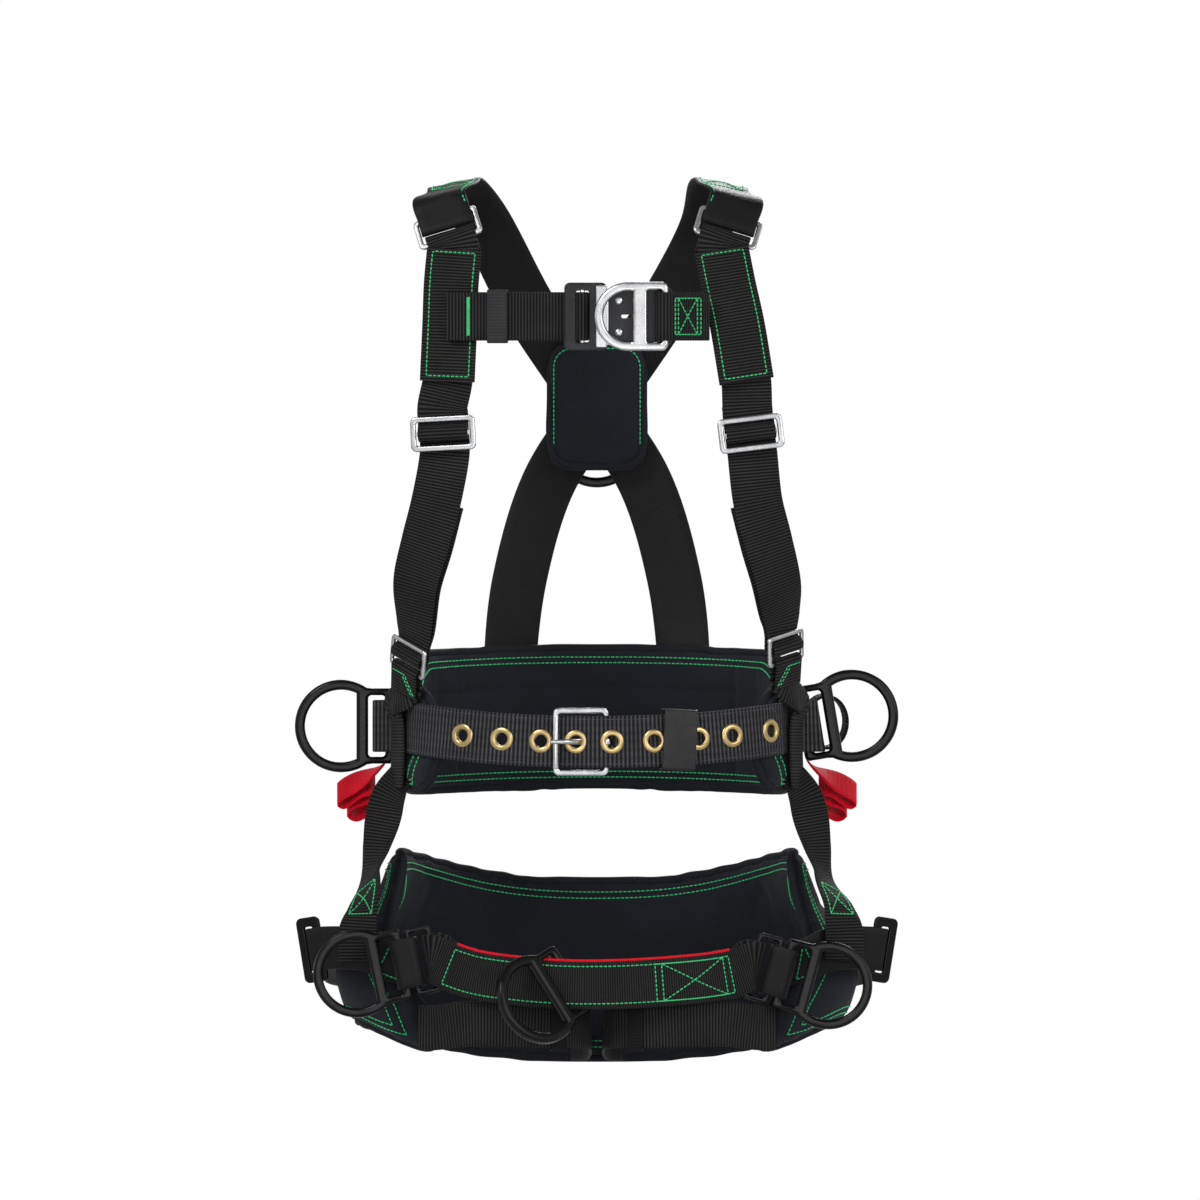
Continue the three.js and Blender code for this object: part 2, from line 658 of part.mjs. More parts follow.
function beltBuckle(pivot) {
  const z = pivot.z;
  const left = V(-36.5, frontY(-36.5, 5.6), z);
  const middle = pivot.clone().add(left).multiplyScalar(0.5);
  const xDir = pivot.clone().sub(left);
  const outline = roundRect(new THREE.Shape(), xDir.length() + 4.4, 60, 4);
  const hole = roundRect(new THREE.Path(), xDir.length() - 4.4, 50, 2);
  const frame = place(plate(outline, [hole], 3.6, 0.9), middle, xDir, V(0, 0, 1));
  add('belt_buckle_frame', frame, 'steel');
  const path = [[3.9, -2.3], [-3, -2.1], [-10, -2.8], [-14.5, -2.2], [-18.5, 1.2], [-22.5, 5],
    [-29, 8.4], [-38.5, 10]].map(([x, o]) => [V(x, frontY(x, o), z), V(0, 0, 1)]);
  const rod = ribbon(through(path, 18), 3.6, 3);
  const eye = new THREE.Shape();
  eye.absarc(0, 0, 5.2, 0, 2 * Math.PI, false);
  const hole2 = new THREE.Path();
  hole2.absarc(0, 0, 3.1, 0, 2 * Math.PI, false);
  const ring = place(plate(eye, [hole2], 5, 0.4, 6), pivot.clone().setZ(z), V(1, 0, 0), V(0, 1, 0));
  add('belt_buckle_prong', union(rod, ring), 'steel');
}

function ringRegion({ name, s, ringZ, ringTilt }) {
  const hinge = V(s * 183.4, RING_Y, ringZ);
  const x = V(-s * Math.cos(rad(ringTilt)), 0, -Math.sin(rad(ringTilt)));
  const eye = hinge.clone().addScaledVector(x, -RING_SLOT);
  add(`side_d_ring_${name}`, place(dRing(), eye, x, V(x.z * s, 0, Math.abs(x.x))), 'alloy');
  // Red gear loop: hangs off the pad behind the ring, folded flat.
  const w = V(0, 1, 0);
  const red = through([
    [V(s * 173, 70, 48), w],
    [V(s * 189, 71, 40), w],
    [V(s * 194, 71, 8), w],
    [V(s * 190, 71, -24), w],
    [V(s * 206, 71, -36), w],
    [V(s * 227, 71, -50), w],
    [V(s * 229, 71, -55), w],
    [V(s * 222, 71, -56), w],
    [V(s * 204, 71, -45), w],
    [V(s * 196, 71, -46), w],
    [V(s * 206, 71, -62), w],
    [V(s * 203, 71, -67), w],
    [V(s * 184, 71, -52), w],
  ], 42);
  add(`gear_loop_${name}`, ribbon(red, 25, 1.8), 'red');
}

// Oval tool loop standing off the belt behind the wearer's left side ring.
function accessoryLoop() {
  const path = [];
  for (let i = 0; i < 20; i += 1) {
    const a = rad(18 * i);
    path.push({ p: V(202 + 19 * Math.cos(a), 48, 12 + 24 * Math.sin(a)), w: V(0, 1, 0) });
  }
  add('accessory_loop_left', ribbon(path, 16, 2.4, true), 'webbing');
}

// ---- seat ----
const SEAT_Z = [-290, -262, -240, -215, -195, -175, -150, -125, -95];
const SEAT_A = [196, 214, 226, 233, 230, 214, 196, 186, 181];
const SEAT_END = [138, 139, 139, 134, 127, 117, 110, 106, 103];

function table(keys, values, x) {
  const i = Math.max(1, Math.min(keys.length - 1, keys.findIndex((k) => k >= x)));
  const f = Math.min(1, Math.max(0, (x - keys[i - 1]) / (keys[i] - keys[i - 1])));
  return values[i - 1] + (values[i] - values[i - 1]) * f;
}

// Point of the seat's outer face: f runs -1..1 from the right front edge round the back.
function seatPoint(f, z, depth = 0) {
  const end = table(SEAT_Z, SEAT_END, z);
  const a = table(SEAT_Z, SEAT_A, z) - depth;
  const degrees = 180 - f * end;
  const b = (Math.cos(rad(degrees)) > 0 ? 92 : 136) - depth;
  return loopPoint(degrees, a, b, z, 0);
}

function seatEdges(f) {
  const side = Math.abs(f);
  return {
    low: -287 + 31 * smooth(0.1, 0.62, side) - 24 * smooth(0.7, 1, side),
    high: -128 + 26 * smooth(0, 0.8, side) - 6 * smooth(0.93, 1, side),
  };
}

function seatPad() {
  const rings = [];
  for (let i = 0; i <= 32; i += 1) {
    const f = -1 + i / 16;
    const { low, high } = seatEdges(f);
    const ring = [];
    for (let j = 0; j <= 6; j += 1) {
      ring.push(seatPoint(f, low + ((high - low) * j) / 6, j === 0 || j === 6 ? 4 : 0));
    }
    for (let j = 6; j >= 0; j -= 1) {
      ring.push(seatPoint(f, low + ((high - low) * j) / 6, j === 0 || j === 6 ? 12 : 16));
    }
    rings.push(ring);
  }
  return skin(rings);
}

function hipFrame({ s, hipX, hipZ, hipTilt }) {
  const x = V(-s * Math.cos(rad(hipTilt)), 0, Math.sin(rad(hipTilt)));
  const up = V(s * Math.sin(rad(hipTilt)), 0, Math.cos(rad(hipTilt)));
  return { x, up, slot: V(s * hipX, -90, hipZ) };
}

function hipRegion(side) {
  const { name, s, flapX } = side;
  const f = hipFrame(side);
  const eye = f.slot.clone().addScaledVector(f.x, -RING_SLOT * HIP_RING);
  add(`hip_d_ring_${name}`, place(dRing(HIP_RING), eye, f.x, f.up), 'alloy');
  const outer = f.slot.clone().addScaledVector(f.x, 9.5);
  const inner = f.slot.clone().addScaledVector(f.x, 28);
  add(`hip_loop_${name}`, barLoop(f.slot, outer, f.up, 5.8, WEB), 'webbing');
  const link = wireLink(23.5, 60, 4.4, 4.4);
  const middle = outer.clone().add(inner).multiplyScalar(0.5);
  add(`bridge_link_${name}`, place(link, middle, f.x, f.up), 'alloy');

  // Hip riser: from under the belt riser, twisting edge-on, down to the hip band.
  const w = across(s, 73);
  const riser = through([
    [beltPoint(s * 78, 0.6, -38), w],
    [beltPoint(s * 78, 1.2, -60), w],
    [V(s * 187, -31, -80), across(s, 54)],
    [V(s * 193, -30, -100), across(s, 50)],
    [V(s * 199, -36, -128), across(s, 68)],
    [V(s * (flapX - 5), -62, -152), across(s, 46)],
    [V(s * flapX, -68.5, -174), across(s, 25)],
    [V(s * flapX, -68.5, -200), across(s, 25)],
  ], 28);
  add(`hip_riser_${name}`, ribbon(riser, 37), 'webbing');

  // Hip band: from behind the ring out to the friction buckle and back to the seat.
  const b = buckleFrame(side);
  const tall = V(0, 0, 1);
  const band = through([
    [V(s * 164, -76.5, -204), f.up],
    [V(s * 186, -74, -198), f.up],
    [V(s * 206, -66, -190), V(s * 0.1, 0.08, 1)],
    [b.at(-14, 4.4), b.w],
    [b.at(-7, 4.2), b.w],
    [b.at(-1.5, 3.4), b.w],
    [b.at(0.6, 0.2), b.w],
    [b.at(-1.2, -3.6), b.w],
    [b.at(-8, -4.8), b.w],
    [V(s * 243, -18, -192), V(s * 0.1, 0, 1)],
    [V(s * 239, 20, -200), tall],
    [V(s * 226, 62, -204), tall],
  ], 48);
  add(`hip_band_${name}`, ribbon(band, 38), 'webbing');
  add(`hip_buckle_${name}`, place(wireLink(22, 58, 4.6, 4), b.origin, b.u, b.w), 'alloy');
}

function buckleFrame({ s }) {
  return linkFrame(V(s * 252, -40, -190), V(s * 0.9, 0.44, 0), V(s * 0.16, 0, 1));
}

// ---- bridge and leg straps ----
function bridgeRegion() {
  const [rightHip, leftHip] = SIDES.map(hipFrame);
  const end = ({ x, up, slot }) => {
    const at = (a, b) => slot.clone().addScaledVector(x, a).add(V(0, b, 0));
    return [
      [at(64, 2.5), up],
      [at(46, 5), up],
      [at(33, 5.2), up],
      [at(26, 4.8), up],
      [at(23, 2.6), up],
      [at(22.6, 0), up],
      [at(23, -2.6), up],
      [at(26, -5.4), up],
      [at(34, -8), up],
    ];
  };
  const w = V(0, 0, 1);
  const controls = [
    ...end(rightHip),
    [V(-112, -108, -213), w],
    [V(-80, -118, -217), w],
    [V(-32, -123, -221), w],
    [V(20, -123, -221), w],
    [V(80, -118, -217), w],
    [V(106, -110, -214), w],
    ...end(leftHip).reverse(),
  ];
  // The strap gathers to pass through the ring's slot.
  const gather = (p) => WEB - (p.y < -118 ? 12.6 * (1 - smooth(27, 44, Math.abs(p.x + 32))) : 0);
  add('bridge_strap', ribbon(through(controls, 84), gather), 'webbing');
  const slope = rad(32);
  const lean = rad(38);
  const b = V(Math.sin(slope), 0, -Math.cos(slope));
  const flat = V(Math.cos(slope), 0, Math.sin(slope));
  const x = flat.multiplyScalar(Math.cos(lean)).add(V(0, Math.sin(lean), 0));
  const slot = V(-32, -123, -221);
  add('bridge_d_ring', place(dRing(), slot.addScaledVector(x, -31.5), x, b.negate()), 'alloy');
}

function legRegion({ name, s }) {
  const tall = V(0, 0, 1);
  const leg = through([
    [V(s * 158, -79, -259), tall],
    [V(s * 143, -87, -259), tall],
    [V(s * 116, -100, -256), tall],
    [V(s * 76, -108, -256), tall],
    [V(s * 44, -107, -257), tall],
    [V(s * 20, -99, -257), tall],
    [V(s * 8, -82, -258), tall],
    [V(s * 6, -52, -260), tall],
    [V(s * 6, 20, -264), tall],
    [V(s * 10, 80, -268), tall],
    [V(s * 22, 112, -268), tall],
  ], 36);
  add(`leg_strap_${name}`, ribbon(leg, 40), 'webbing');
  const band = keeper(41.4, 4.6, 13, 2);
  add(`leg_keeper_${name}`, place(band, V(s * 34, -104.6, -257), tall, V(s * 0.26, 1, 0)), 'elastic');
}

SIDES.forEach((side) => {
  shoulderRegion(side);
  torsoRegion(side);
  ringRegion(side);
  hipRegion(side);
  legRegion(side);
});
chestRegion();
dorsalRegion();
add('waist_pad', waistPad(), 'pad');
beltRegion();
accessoryLoop();
add('seat_pad', seatPad(), 'pad');
bridgeRegion();

export default root;
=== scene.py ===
"""Looks of a full-body tree climbing harness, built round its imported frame.

Millimetres here, metres in Blender. +Z is up, the wearer faces -Y and +X is the wearer's left.
"""
import json
from math import acos, asin, atan2, ceil, copysign, cos, degrees, exp, floor, hypot, pi, radians, sin, sqrt

import bmesh
import bpy
from mathutils import Matrix, Vector, noise
from mathutils.bvhtree import BVHTree


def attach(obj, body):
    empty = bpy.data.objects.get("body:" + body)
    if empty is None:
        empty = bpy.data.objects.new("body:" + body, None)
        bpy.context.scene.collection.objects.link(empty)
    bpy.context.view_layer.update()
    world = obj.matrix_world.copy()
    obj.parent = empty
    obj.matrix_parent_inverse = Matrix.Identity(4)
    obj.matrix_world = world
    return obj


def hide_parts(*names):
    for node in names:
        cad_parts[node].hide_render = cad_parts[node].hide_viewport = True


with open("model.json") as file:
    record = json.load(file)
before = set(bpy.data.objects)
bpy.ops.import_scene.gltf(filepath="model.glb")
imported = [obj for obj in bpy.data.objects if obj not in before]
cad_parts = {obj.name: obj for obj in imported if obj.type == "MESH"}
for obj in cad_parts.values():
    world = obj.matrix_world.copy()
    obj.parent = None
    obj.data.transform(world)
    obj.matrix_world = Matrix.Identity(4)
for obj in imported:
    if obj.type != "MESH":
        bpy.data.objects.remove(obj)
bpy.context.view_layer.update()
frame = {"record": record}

MM = 0.001
BODY_OF = {n: b for b, ns in frame["record"]["behaviour"]["bodies"].items() for n in ns}

# ---- driving dimensions, as in the part ----
WEB = 44.5
WEB_T = 2.2
BELT_W = 46
BELT_T = 2.8
BELT_A = 175
BELT_B = 122
SQUARE = 2.3
RING_R = 41
RING_BAR = 9
RING_SLOT = 43
HIP_RING = 0.95
RING_Y = 15
CHEST_Z = 370.5
SHOULDER_LEAN = -8
GROMMETS = [-118.6, -84.1, -49.6, -18.6, 13.3, 50.4, 88.5, 117.7, 150.5]
GROMMET_R = 10.6
GROMMET_HOLE = 5.5

# ---- dimensions of the looks and the studio ----
STEP = 2.4                     # distance between the cross-sections of a strap
FINE_STEP = 1.7                # the same for the belt, which has holes
RIPPLE = 0.12                  # how far webbing waves off its path
RING_STAND = 22.5              # how far the belt stands out inside a side ring
LOOP_Y = 71                    # middle of the red loops, front to back
PIPING = 4.2                   # radius of the binding round the waist and seat pads
PAD_CAP = 5                    # how far the stuffing may move a point of those pads
BORDER = 0.84                  # height of the waist pad's border line, of its half height
FLOOR_Z = -0.42                # metres
FLOOR_HALF = 12
VIEW_WIDTH = 1.062

RIGHT = dict(name="right", s=-1, ring_z=8, ring_tilt=0, hip_x=172.4, hip_z=-203, hip_tilt=11.5,
             link_z=69, link_slope=-0.33, flap_x=212)
LEFT = dict(name="left", s=1, ring_z=10, ring_tilt=9.5, hip_x=165.4, hip_z=-211, hip_tilt=15,
            link_z=77, link_slope=-0.19, flap_x=219)
SIDES = [RIGHT, LEFT]


# ---- vectors and curves ----
def V(x, y, z):
    return Vector((x, y, z))


LEFTWARD = V(1, 0, 0)
REARWARD = V(0, 1, 0)
UP = V(0, 0, 1)


def spread(a, b, count):
    """Numbers from a to b in a count of equal steps."""
    return [a + (b - a) * i / count for i in range(count + 1)]


def smooth(a, b, x):
    t = min(1, max(0, (x - a) / (b - a)))
    return t * t * (3 - 2 * t)


def across(s, degrees, rise=0.0):
    """Width direction of a strap that faces the given way: 0 the front, 90 its own side, 180 the back."""
    a = radians(degrees)
    return V(s * cos(a), sin(a), rise).normalized()


def worn(s, *places):
    """Controls of a strap at (x, y, z, facing) places on one side; a fifth number is the width's rise."""
    return [(V(s * x, y, z), across(s, *turn)) for x, y, z, *turn in places]


def curve_points(points, count):
    """Centripetal Catmull-Rom curve through the points."""
    ends = [2 * points[0] - points[1], *points, 2 * points[-1] - points[-2]]
    spans = len(points) - 1
    out = []
    for i in range(count + 1):
        k = min(int(spans * i / count), spans - 1)
        w = spans * i / count - k
        p0, p1, p2, p3 = ends[k:k + 4]
        d0, d1, d2 = (max((b - a).length, 1e-6) ** 0.5 for a, b in ((p0, p1), (p1, p2), (p2, p3)))
        m1 = ((p1 - p0) / d0 - (p2 - p0) / (d0 + d1) + (p2 - p1) / d1) * d1
        m2 = ((p2 - p1) / d1 - (p3 - p1) / (d1 + d2) + (p3 - p2) / d2) * d1
        bend = -3 * p1 + 3 * p2 - 2 * m1 - m2
        out.append(p1 + m1 * w + bend * w * w + (2 * p1 - 2 * p2 + m1 + m2) * w ** 3)
    return out


def running_length(points):
    out = [0.0]
    for a, b in zip(points, points[1:]):
        out.append(out[-1] + (b - a).length)
    return out


def tangents(points, closed=False):
    last = len(points) - 1
    out = []
    for i in range(last + 1):
        after = points[(i + 1) % (last + 1) if closed else min(i + 1, last)]
        before = points[i - 1 if closed else max(i - 1, 0)]
        out.append((after - before).normalized())
    return out


def look_up(keys, values, x):
    """Linear interpolation of vectors or numbers at increasing keys."""
    lo, hi = 0, len(keys) - 1
    while hi - lo > 1:
        mid = (lo + hi) // 2
        if keys[mid] <= x:
            lo = mid
        else:
            hi = mid
    f = (x - keys[lo]) / max(keys[hi] - keys[lo], 1e-9)
    return values[lo] + (values[hi] - values[lo]) * min(1, max(0, f))


def through(controls):
    """Fine path of (point, width direction) through controls [point, width direction]."""
    count = len(controls) * 16
    spine = curve_points([c[0] for c in controls], count)
    edge = curve_points([c[0] + 20 * c[1] for c in controls], count)
    return [(p, e - p) for p, e in zip(spine, edge)]


# ---- meshes ----
def finish_mesh(verts, faces, uvs=None, sharp=40):
    mesh = bpy.data.meshes.new("shape")
    mesh.from_pydata([tuple(v * MM) for v in verts], [], faces)
    if uvs:
        layer = mesh.uv_layers.new(name="run")
        layer.data.foreach_set("uv", [c * MM for face in uvs for uv in face for c in uv])
    mesh.polygons.foreach_set("use_smooth", [True] * len(mesh.polygons))
    mesh.set_sharp_from_angle(angle=radians(sharp))
    return mesh


def tube_faces(total, n, closed=False):
    """Faces through rings of n points each, capped at both ends unless the tube is closed."""
    faces = []
    for i in range(total if closed else total - 1):
        j = (i + 1) % total
        for k in range(n):
            m = (k + 1) % n
            faces.append((i * n + k, i * n + m, j * n + m, j * n + k))
    if not closed:
        faces += [tuple(range(n - 1, -1, -1)), tuple(range((total - 1) * n, total * n))]
    return faces


def tube(rings, along, around, closed=False, sharp=40):
    """Mesh through rings of points; along and around are the UVs of rings and of points in a ring."""
    total = len(rings)
    uvs = []
    for a, b in zip(along, along[1:] if closed else along[1:total]):
        uvs += [[(a, c), (a, d), (b, d), (b, c)] for c, d in zip(around, around[1:])]
    if not closed:
        uvs += [[(along[0], c) for c in around[-2::-1]], [(along[total - 1], c) for c in around[:-1]]]
    verts = [p for ring in rings for p in ring]
    return finish_mesh(verts, tube_faces(total, len(rings[0]), closed), uvs, sharp)


def in_scene(name, data):
    obj = bpy.data.objects.new(name, data)
    bpy.context.scene.collection.objects.link(obj)
    return obj


def evaluated(obj):
    """New mesh of an object as its modifiers leave it."""
    bpy.context.view_layer.update()
    return bpy.data.meshes.new_from_object(obj.evaluated_get(bpy.context.evaluated_depsgraph_get()))


def piece(name, mesh, look, body="harness", node=None):
    """An object of the harness that rides on a body and may stand for a CAD node."""
    mesh.name = name
    obj = in_scene(name, mesh)
    mesh.materials.clear()
    mesh.materials.append(material(look))
    if node:
        body = BODY_OF[node]
        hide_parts(node)
    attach(obj, body)
    return obj


def section(width, thickness, flats=6, rounds=4):
    """Flat section with round edges: (v, h) pairs, v along the width."""
    r = thickness / 2
    half = width / 2 - r
    out = []
    for side in (1, -1):
        for i in range(rounds + 1):
            a = radians(-90 + 180 * i / rounds)
            out.append((side * (half + r * cos(a)), side * r * sin(a)))
        out += [(side * half * (1 - 2 * k / flats), side * r) for k in range(1, flats)]
    return out


class Strap:
    """Webbing swept along a path of (point, width direction)."""

    def __init__(self, path, width=WEB, thickness=WEB_T, closed=False, step=STEP):
        self.width = width
        self.thickness = thickness
        self.closed = closed
        points, widths = (list(column) for column in zip(*path))
        if closed:
            points.append(points[0])
            widths.append(widths[0])
        keys = running_length(points)
        self.length = keys[-1]
        self.count = max(3, round(self.length / step))
        self.step = self.length / self.count
        total = self.count if closed else self.count + 1
        self.p = [look_up(keys, points, self.step * i) for i in range(total)]
        self.u = []
        self.n = []
        for i, t in enumerate(tangents(self.p, closed)):
            w = look_up(keys, widths, self.step * i)
            self.u.append((w - t * w.dot(t)).normalized())
            self.n.append(t.cross(self.u[-1]))

    def at(self, along, v, h):
        """Point on the strap: along its length, across from its middle, and above its mid plane."""
        i = floor(along / self.step)
        w = along / self.step - i
        total = len(self.p)
        if self.closed:
            a, b = i % total, (i + 1) % total
        else:
            a, b = min(max(i, 0), total - 1), min(max(i + 1, 0), total - 1)
        p = self.p[a].lerp(self.p[b], w)
        return p + self.u[a].lerp(self.u[b], w) * v + self.n[a].lerp(self.n[b], w) * h

    def nearest(self, point):
        """Length along the strap to the place nearest a point."""
        return self.step * min(range(len(self.p)), key=lambda i: (self.p[i] - point).length)

    def facing(self, along, way=V(0, -1, 0)):
        """1 if the strap's normal turns the given way at a length along it, else -1."""
        return 1 if self.n[round(along / self.step)].dot(way) > 0 else -1

    def mesh(self):
        shape = section(self.width, self.thickness)
        rings = []
        for p, u, out in zip(self.p, self.u, self.n):
            flat = [p + u * v + out * h for v, h in shape]
            rings.append([q + out * (noise.noise(q * 0.045) * RIPPLE) for q in flat])
        along = [self.step * i for i in range(self.count + 1)]
        return tube(rings, along, [v for v, _ in shape + shape[:1]], self.closed, 60)


def bar_path(a, b, axis, radius, steps=10):
    """Closed path of webbing round two bars; the band's width runs along the bars."""
    along = (b - a).normalized()
    up = (axis - along * axis.dot(along)).normalized()
    out = up.cross(along)
    r = radius + WEB_T / 2
    path = []
    for centre, start in ((b, -90), (a, 90)):
        for t in spread(radians(start), radians(start + 180), steps):
            path.append((centre + along * cos(t) * r + out * sin(t) * r, up))
    return path


def sweep(points, radius, sides=12, closed=False):
    """Round tube along points; the radius is a number or a function of the share of its length."""
    size = radius if callable(radius) else (lambda f: radius)
    keys = running_length(points)
    turns = spread(0, 2 * pi, sides)[:-1]
    rings = []
    side = None
    for p, t, key in zip(points, tangents(points, closed), keys):
        side = side or t.orthogonal()
        side = (side - t * side.dot(t)).normalized()
        other = t.cross(side)
        r = size(key / keys[-1])
        rings.append([p + (side * cos(a) + other * sin(a)) * r for a in turns])
    return tube(rings, [*keys, keys[-1] + 2], [2 * k for k in range(sides + 1)], closed)


def rod(a, b, radius, round_end=0.8, sides=28):
    """Straight bar with rounded ends."""
    line = (b - a).normalized()
    length = (b - a).length
    stops = [(0, radius - round_end), (0.3 * round_end, radius - 0.3 * round_end), (round_end, radius)]
    stops += [(length - x, r) for x, r in reversed(stops)]
    keys = [x / length for x, _ in stops]
    radii = [r for _, r in stops]
    return sweep([a + line * x for x, _ in stops], lambda f: look_up(keys, radii, f), sides)


def place(mesh, origin, x_dir, y_dir):
    """Puts a flat part drawn in its own XY plane at a point, given its two drawing directions."""
    x = x_dir.normalized()
    y = (y_dir - x * y_dir.dot(x)).normalized()
    z = x.cross(y)
    o = origin * MM
    mesh.transform(Matrix(((x.x, y.x, z.x, o.x), (x.y, y.y, z.y, o.y), (x.z, y.z, z.z, o.z), (0, 0, 0, 1))))
    return mesh


def arc(cx, cy, r, start, end, step=6):
    count = max(2, round(abs(end - start) / step))
    angles = spread(radians(start), radians(end), count)
    return [(cx + r * cos(a), cy + r * sin(a)) for a in angles]


def round_rect(width, height, r, x=0, y=0):
    w = width / 2 - r
    h = height / 2 - r
    out = []
    for cx, cy, start in ((w, -h, -90), (w, h, 0), (-w, h, 90), (-w, -h, 180)):
        out += arc(x + cx, y + cy, r, start, start + 90, 15)
    return out


def plate(outline, holes, thickness, bevel, resolution=3):
    """Flat outline with holes and rounded edges, centred on its own plane."""
    curve = bpy.data.curves.new("outline", "CURVE")
    curve.dimensions = "2D"
    curve.fill_mode = "BOTH"
    curve.extrude = max(thickness / 2 - bevel, 0.01) * MM
    curve.bevel_depth = bevel * MM
    curve.bevel_resolution = resolution
    curve.offset = -bevel * MM
    for loop in [outline, *holes]:
        spline = curve.splines.new("POLY")
        spline.points.add(len(loop) - 1)
        for point, (x, y) in zip(spline.points, loop):
            point.co = (x * MM, y * MM, 0, 1)
        spline.use_cyclic_u = True
    obj = in_scene("outline", curve)
    mesh = evaluated(obj)
    bpy.data.objects.remove(obj)
    bpy.data.curves.remove(curve)
    work = bmesh.new()
    work.from_mesh(mesh)
    bmesh.ops.remove_doubles(work, verts=work.verts, dist=2e-6)
    bmesh.ops.recalc_face_normals(work, faces=work.faces)
    layer = work.loops.layers.uv.verify()
    for face in work.faces:
        for loop in face.loops:
            loop[layer].uv = (loop.vert.co.x, loop.vert.co.y + loop.vert.co.z)
    work.to_mesh(mesh)
    work.free()
    mesh.polygons.foreach_set("use_smooth", [True] * len(mesh.polygons))
    mesh.set_sharp_from_angle(angle=radians(40))
    return mesh


def fitted(node, finish, look, mesh, origin, x_dir, y_dir):
    """Flat metal part brought to its place, with the shading of its faces kept flat beside rounded edges."""
    obj = piece(f"{node}_{finish}", place(mesh, origin, x_dir, y_dir), look, node=node)
    weighted = obj.modifiers.new("weighted", "WEIGHTED_NORMAL")
    weighted.keep_sharp = True


def lathe(profile, origin, axis, sides=36):
    """Turned ring: a closed profile of (radius, height) round an axis."""
    axis = axis.normalized()
    x = axis.orthogonal().normalized()
    y = axis.cross(x)
    rings = []
    for a in spread(0, -2 * pi, sides)[:-1]:
        out = x * cos(a) + y * sin(a)
        rings.append([origin + out * r + axis * h for r, h in profile])
    return tube(rings, range(sides + 1), range(len(profile) + 1), True, 50)


# ---- stitching ----
STITCH = 3.1
STITCH_GAP = 0.9
THREAD = 0.55


class Stitching:
    """Rows of thread on a surface, gathered into one mesh."""

    def __init__(self):
        self.verts = []
        self.faces = []

    def row(self, points, normals, stitch=STITCH, thread=THREAD):
        keys = running_length(points)
        count = max(1, round(keys[-1] / (stitch + STITCH_GAP)))
        pitch = keys[-1] / count
        for i in range(count):
            start = i * pitch + STITCH_GAP / 2
            self.one(keys, points, normals, start, start + pitch - STITCH_GAP, thread)

    def one(self, keys, points, normals, a, b, thread):
        sides = 6
        base = len(self.verts)
        stops = ((0, 0, 0.5), (0.15, 0.75, 1), (0.85, 0.75, 1), (1, 0, 0.5))
        start = look_up(keys, points, a)
        t = (look_up(keys, points, b) - start).normalized()
        for f, lift, size in stops:
            s = a + (b - a) * f
            n = look_up(keys, normals, s).normalized()
            p = look_up(keys, points, s) + n * lift * thread
            side = t.cross(n)
            for angle in spread(0, 2 * pi, sides)[:-1]:
                self.verts.append(p + (side * cos(angle) + n * sin(angle)) * thread * size)
        self.faces += [tuple(base + k for k in face) for face in tube_faces(len(stops), sides)]

    def on(self, strap, corners, side=1, **size):
        """Row along a polyline of (along, across) places on a strap's face."""
        points = []
        normals = []
        for (a, v), (b, w) in zip(corners, corners[1:]):
            count = max(2, round(hypot(b - a, w - v) / 1.5))
            for x, y in zip(spread(a, b, count), spread(v, w, count)):
                low, high = (strap.at(x, y, side * (strap.thickness / 2 + lift)) for lift in (0, 1))
                points.append(low)
                normals.append(high - low)
        self.row(points, normals, **size)

    def box(self, strap, a, b, half, side=1, cross=False, doubles=0):
        """Rectangle between two lengths; cross adds an X, doubles adds a second line at each end."""
        self.on(strap, [(a, -half), (b, -half), (b, half), (a, half), (a, -half)], side)
        if cross:
            self.on(strap, [(a + doubles, -half), (b - doubles, half)], side)
            self.on(strap, [(a + doubles, half), (b - doubles, -half)], side)
        if doubles:
            self.on(strap, [(a + doubles, -half), (a + doubles, half)], side)
            self.on(strap, [(b - doubles, -half), (b - doubles, half)], side)

    def done(self, name, look="thread"):
        piece(name, finish_mesh(self.verts, self.faces), look)


# ---- materials ----
MATERIALS = {}


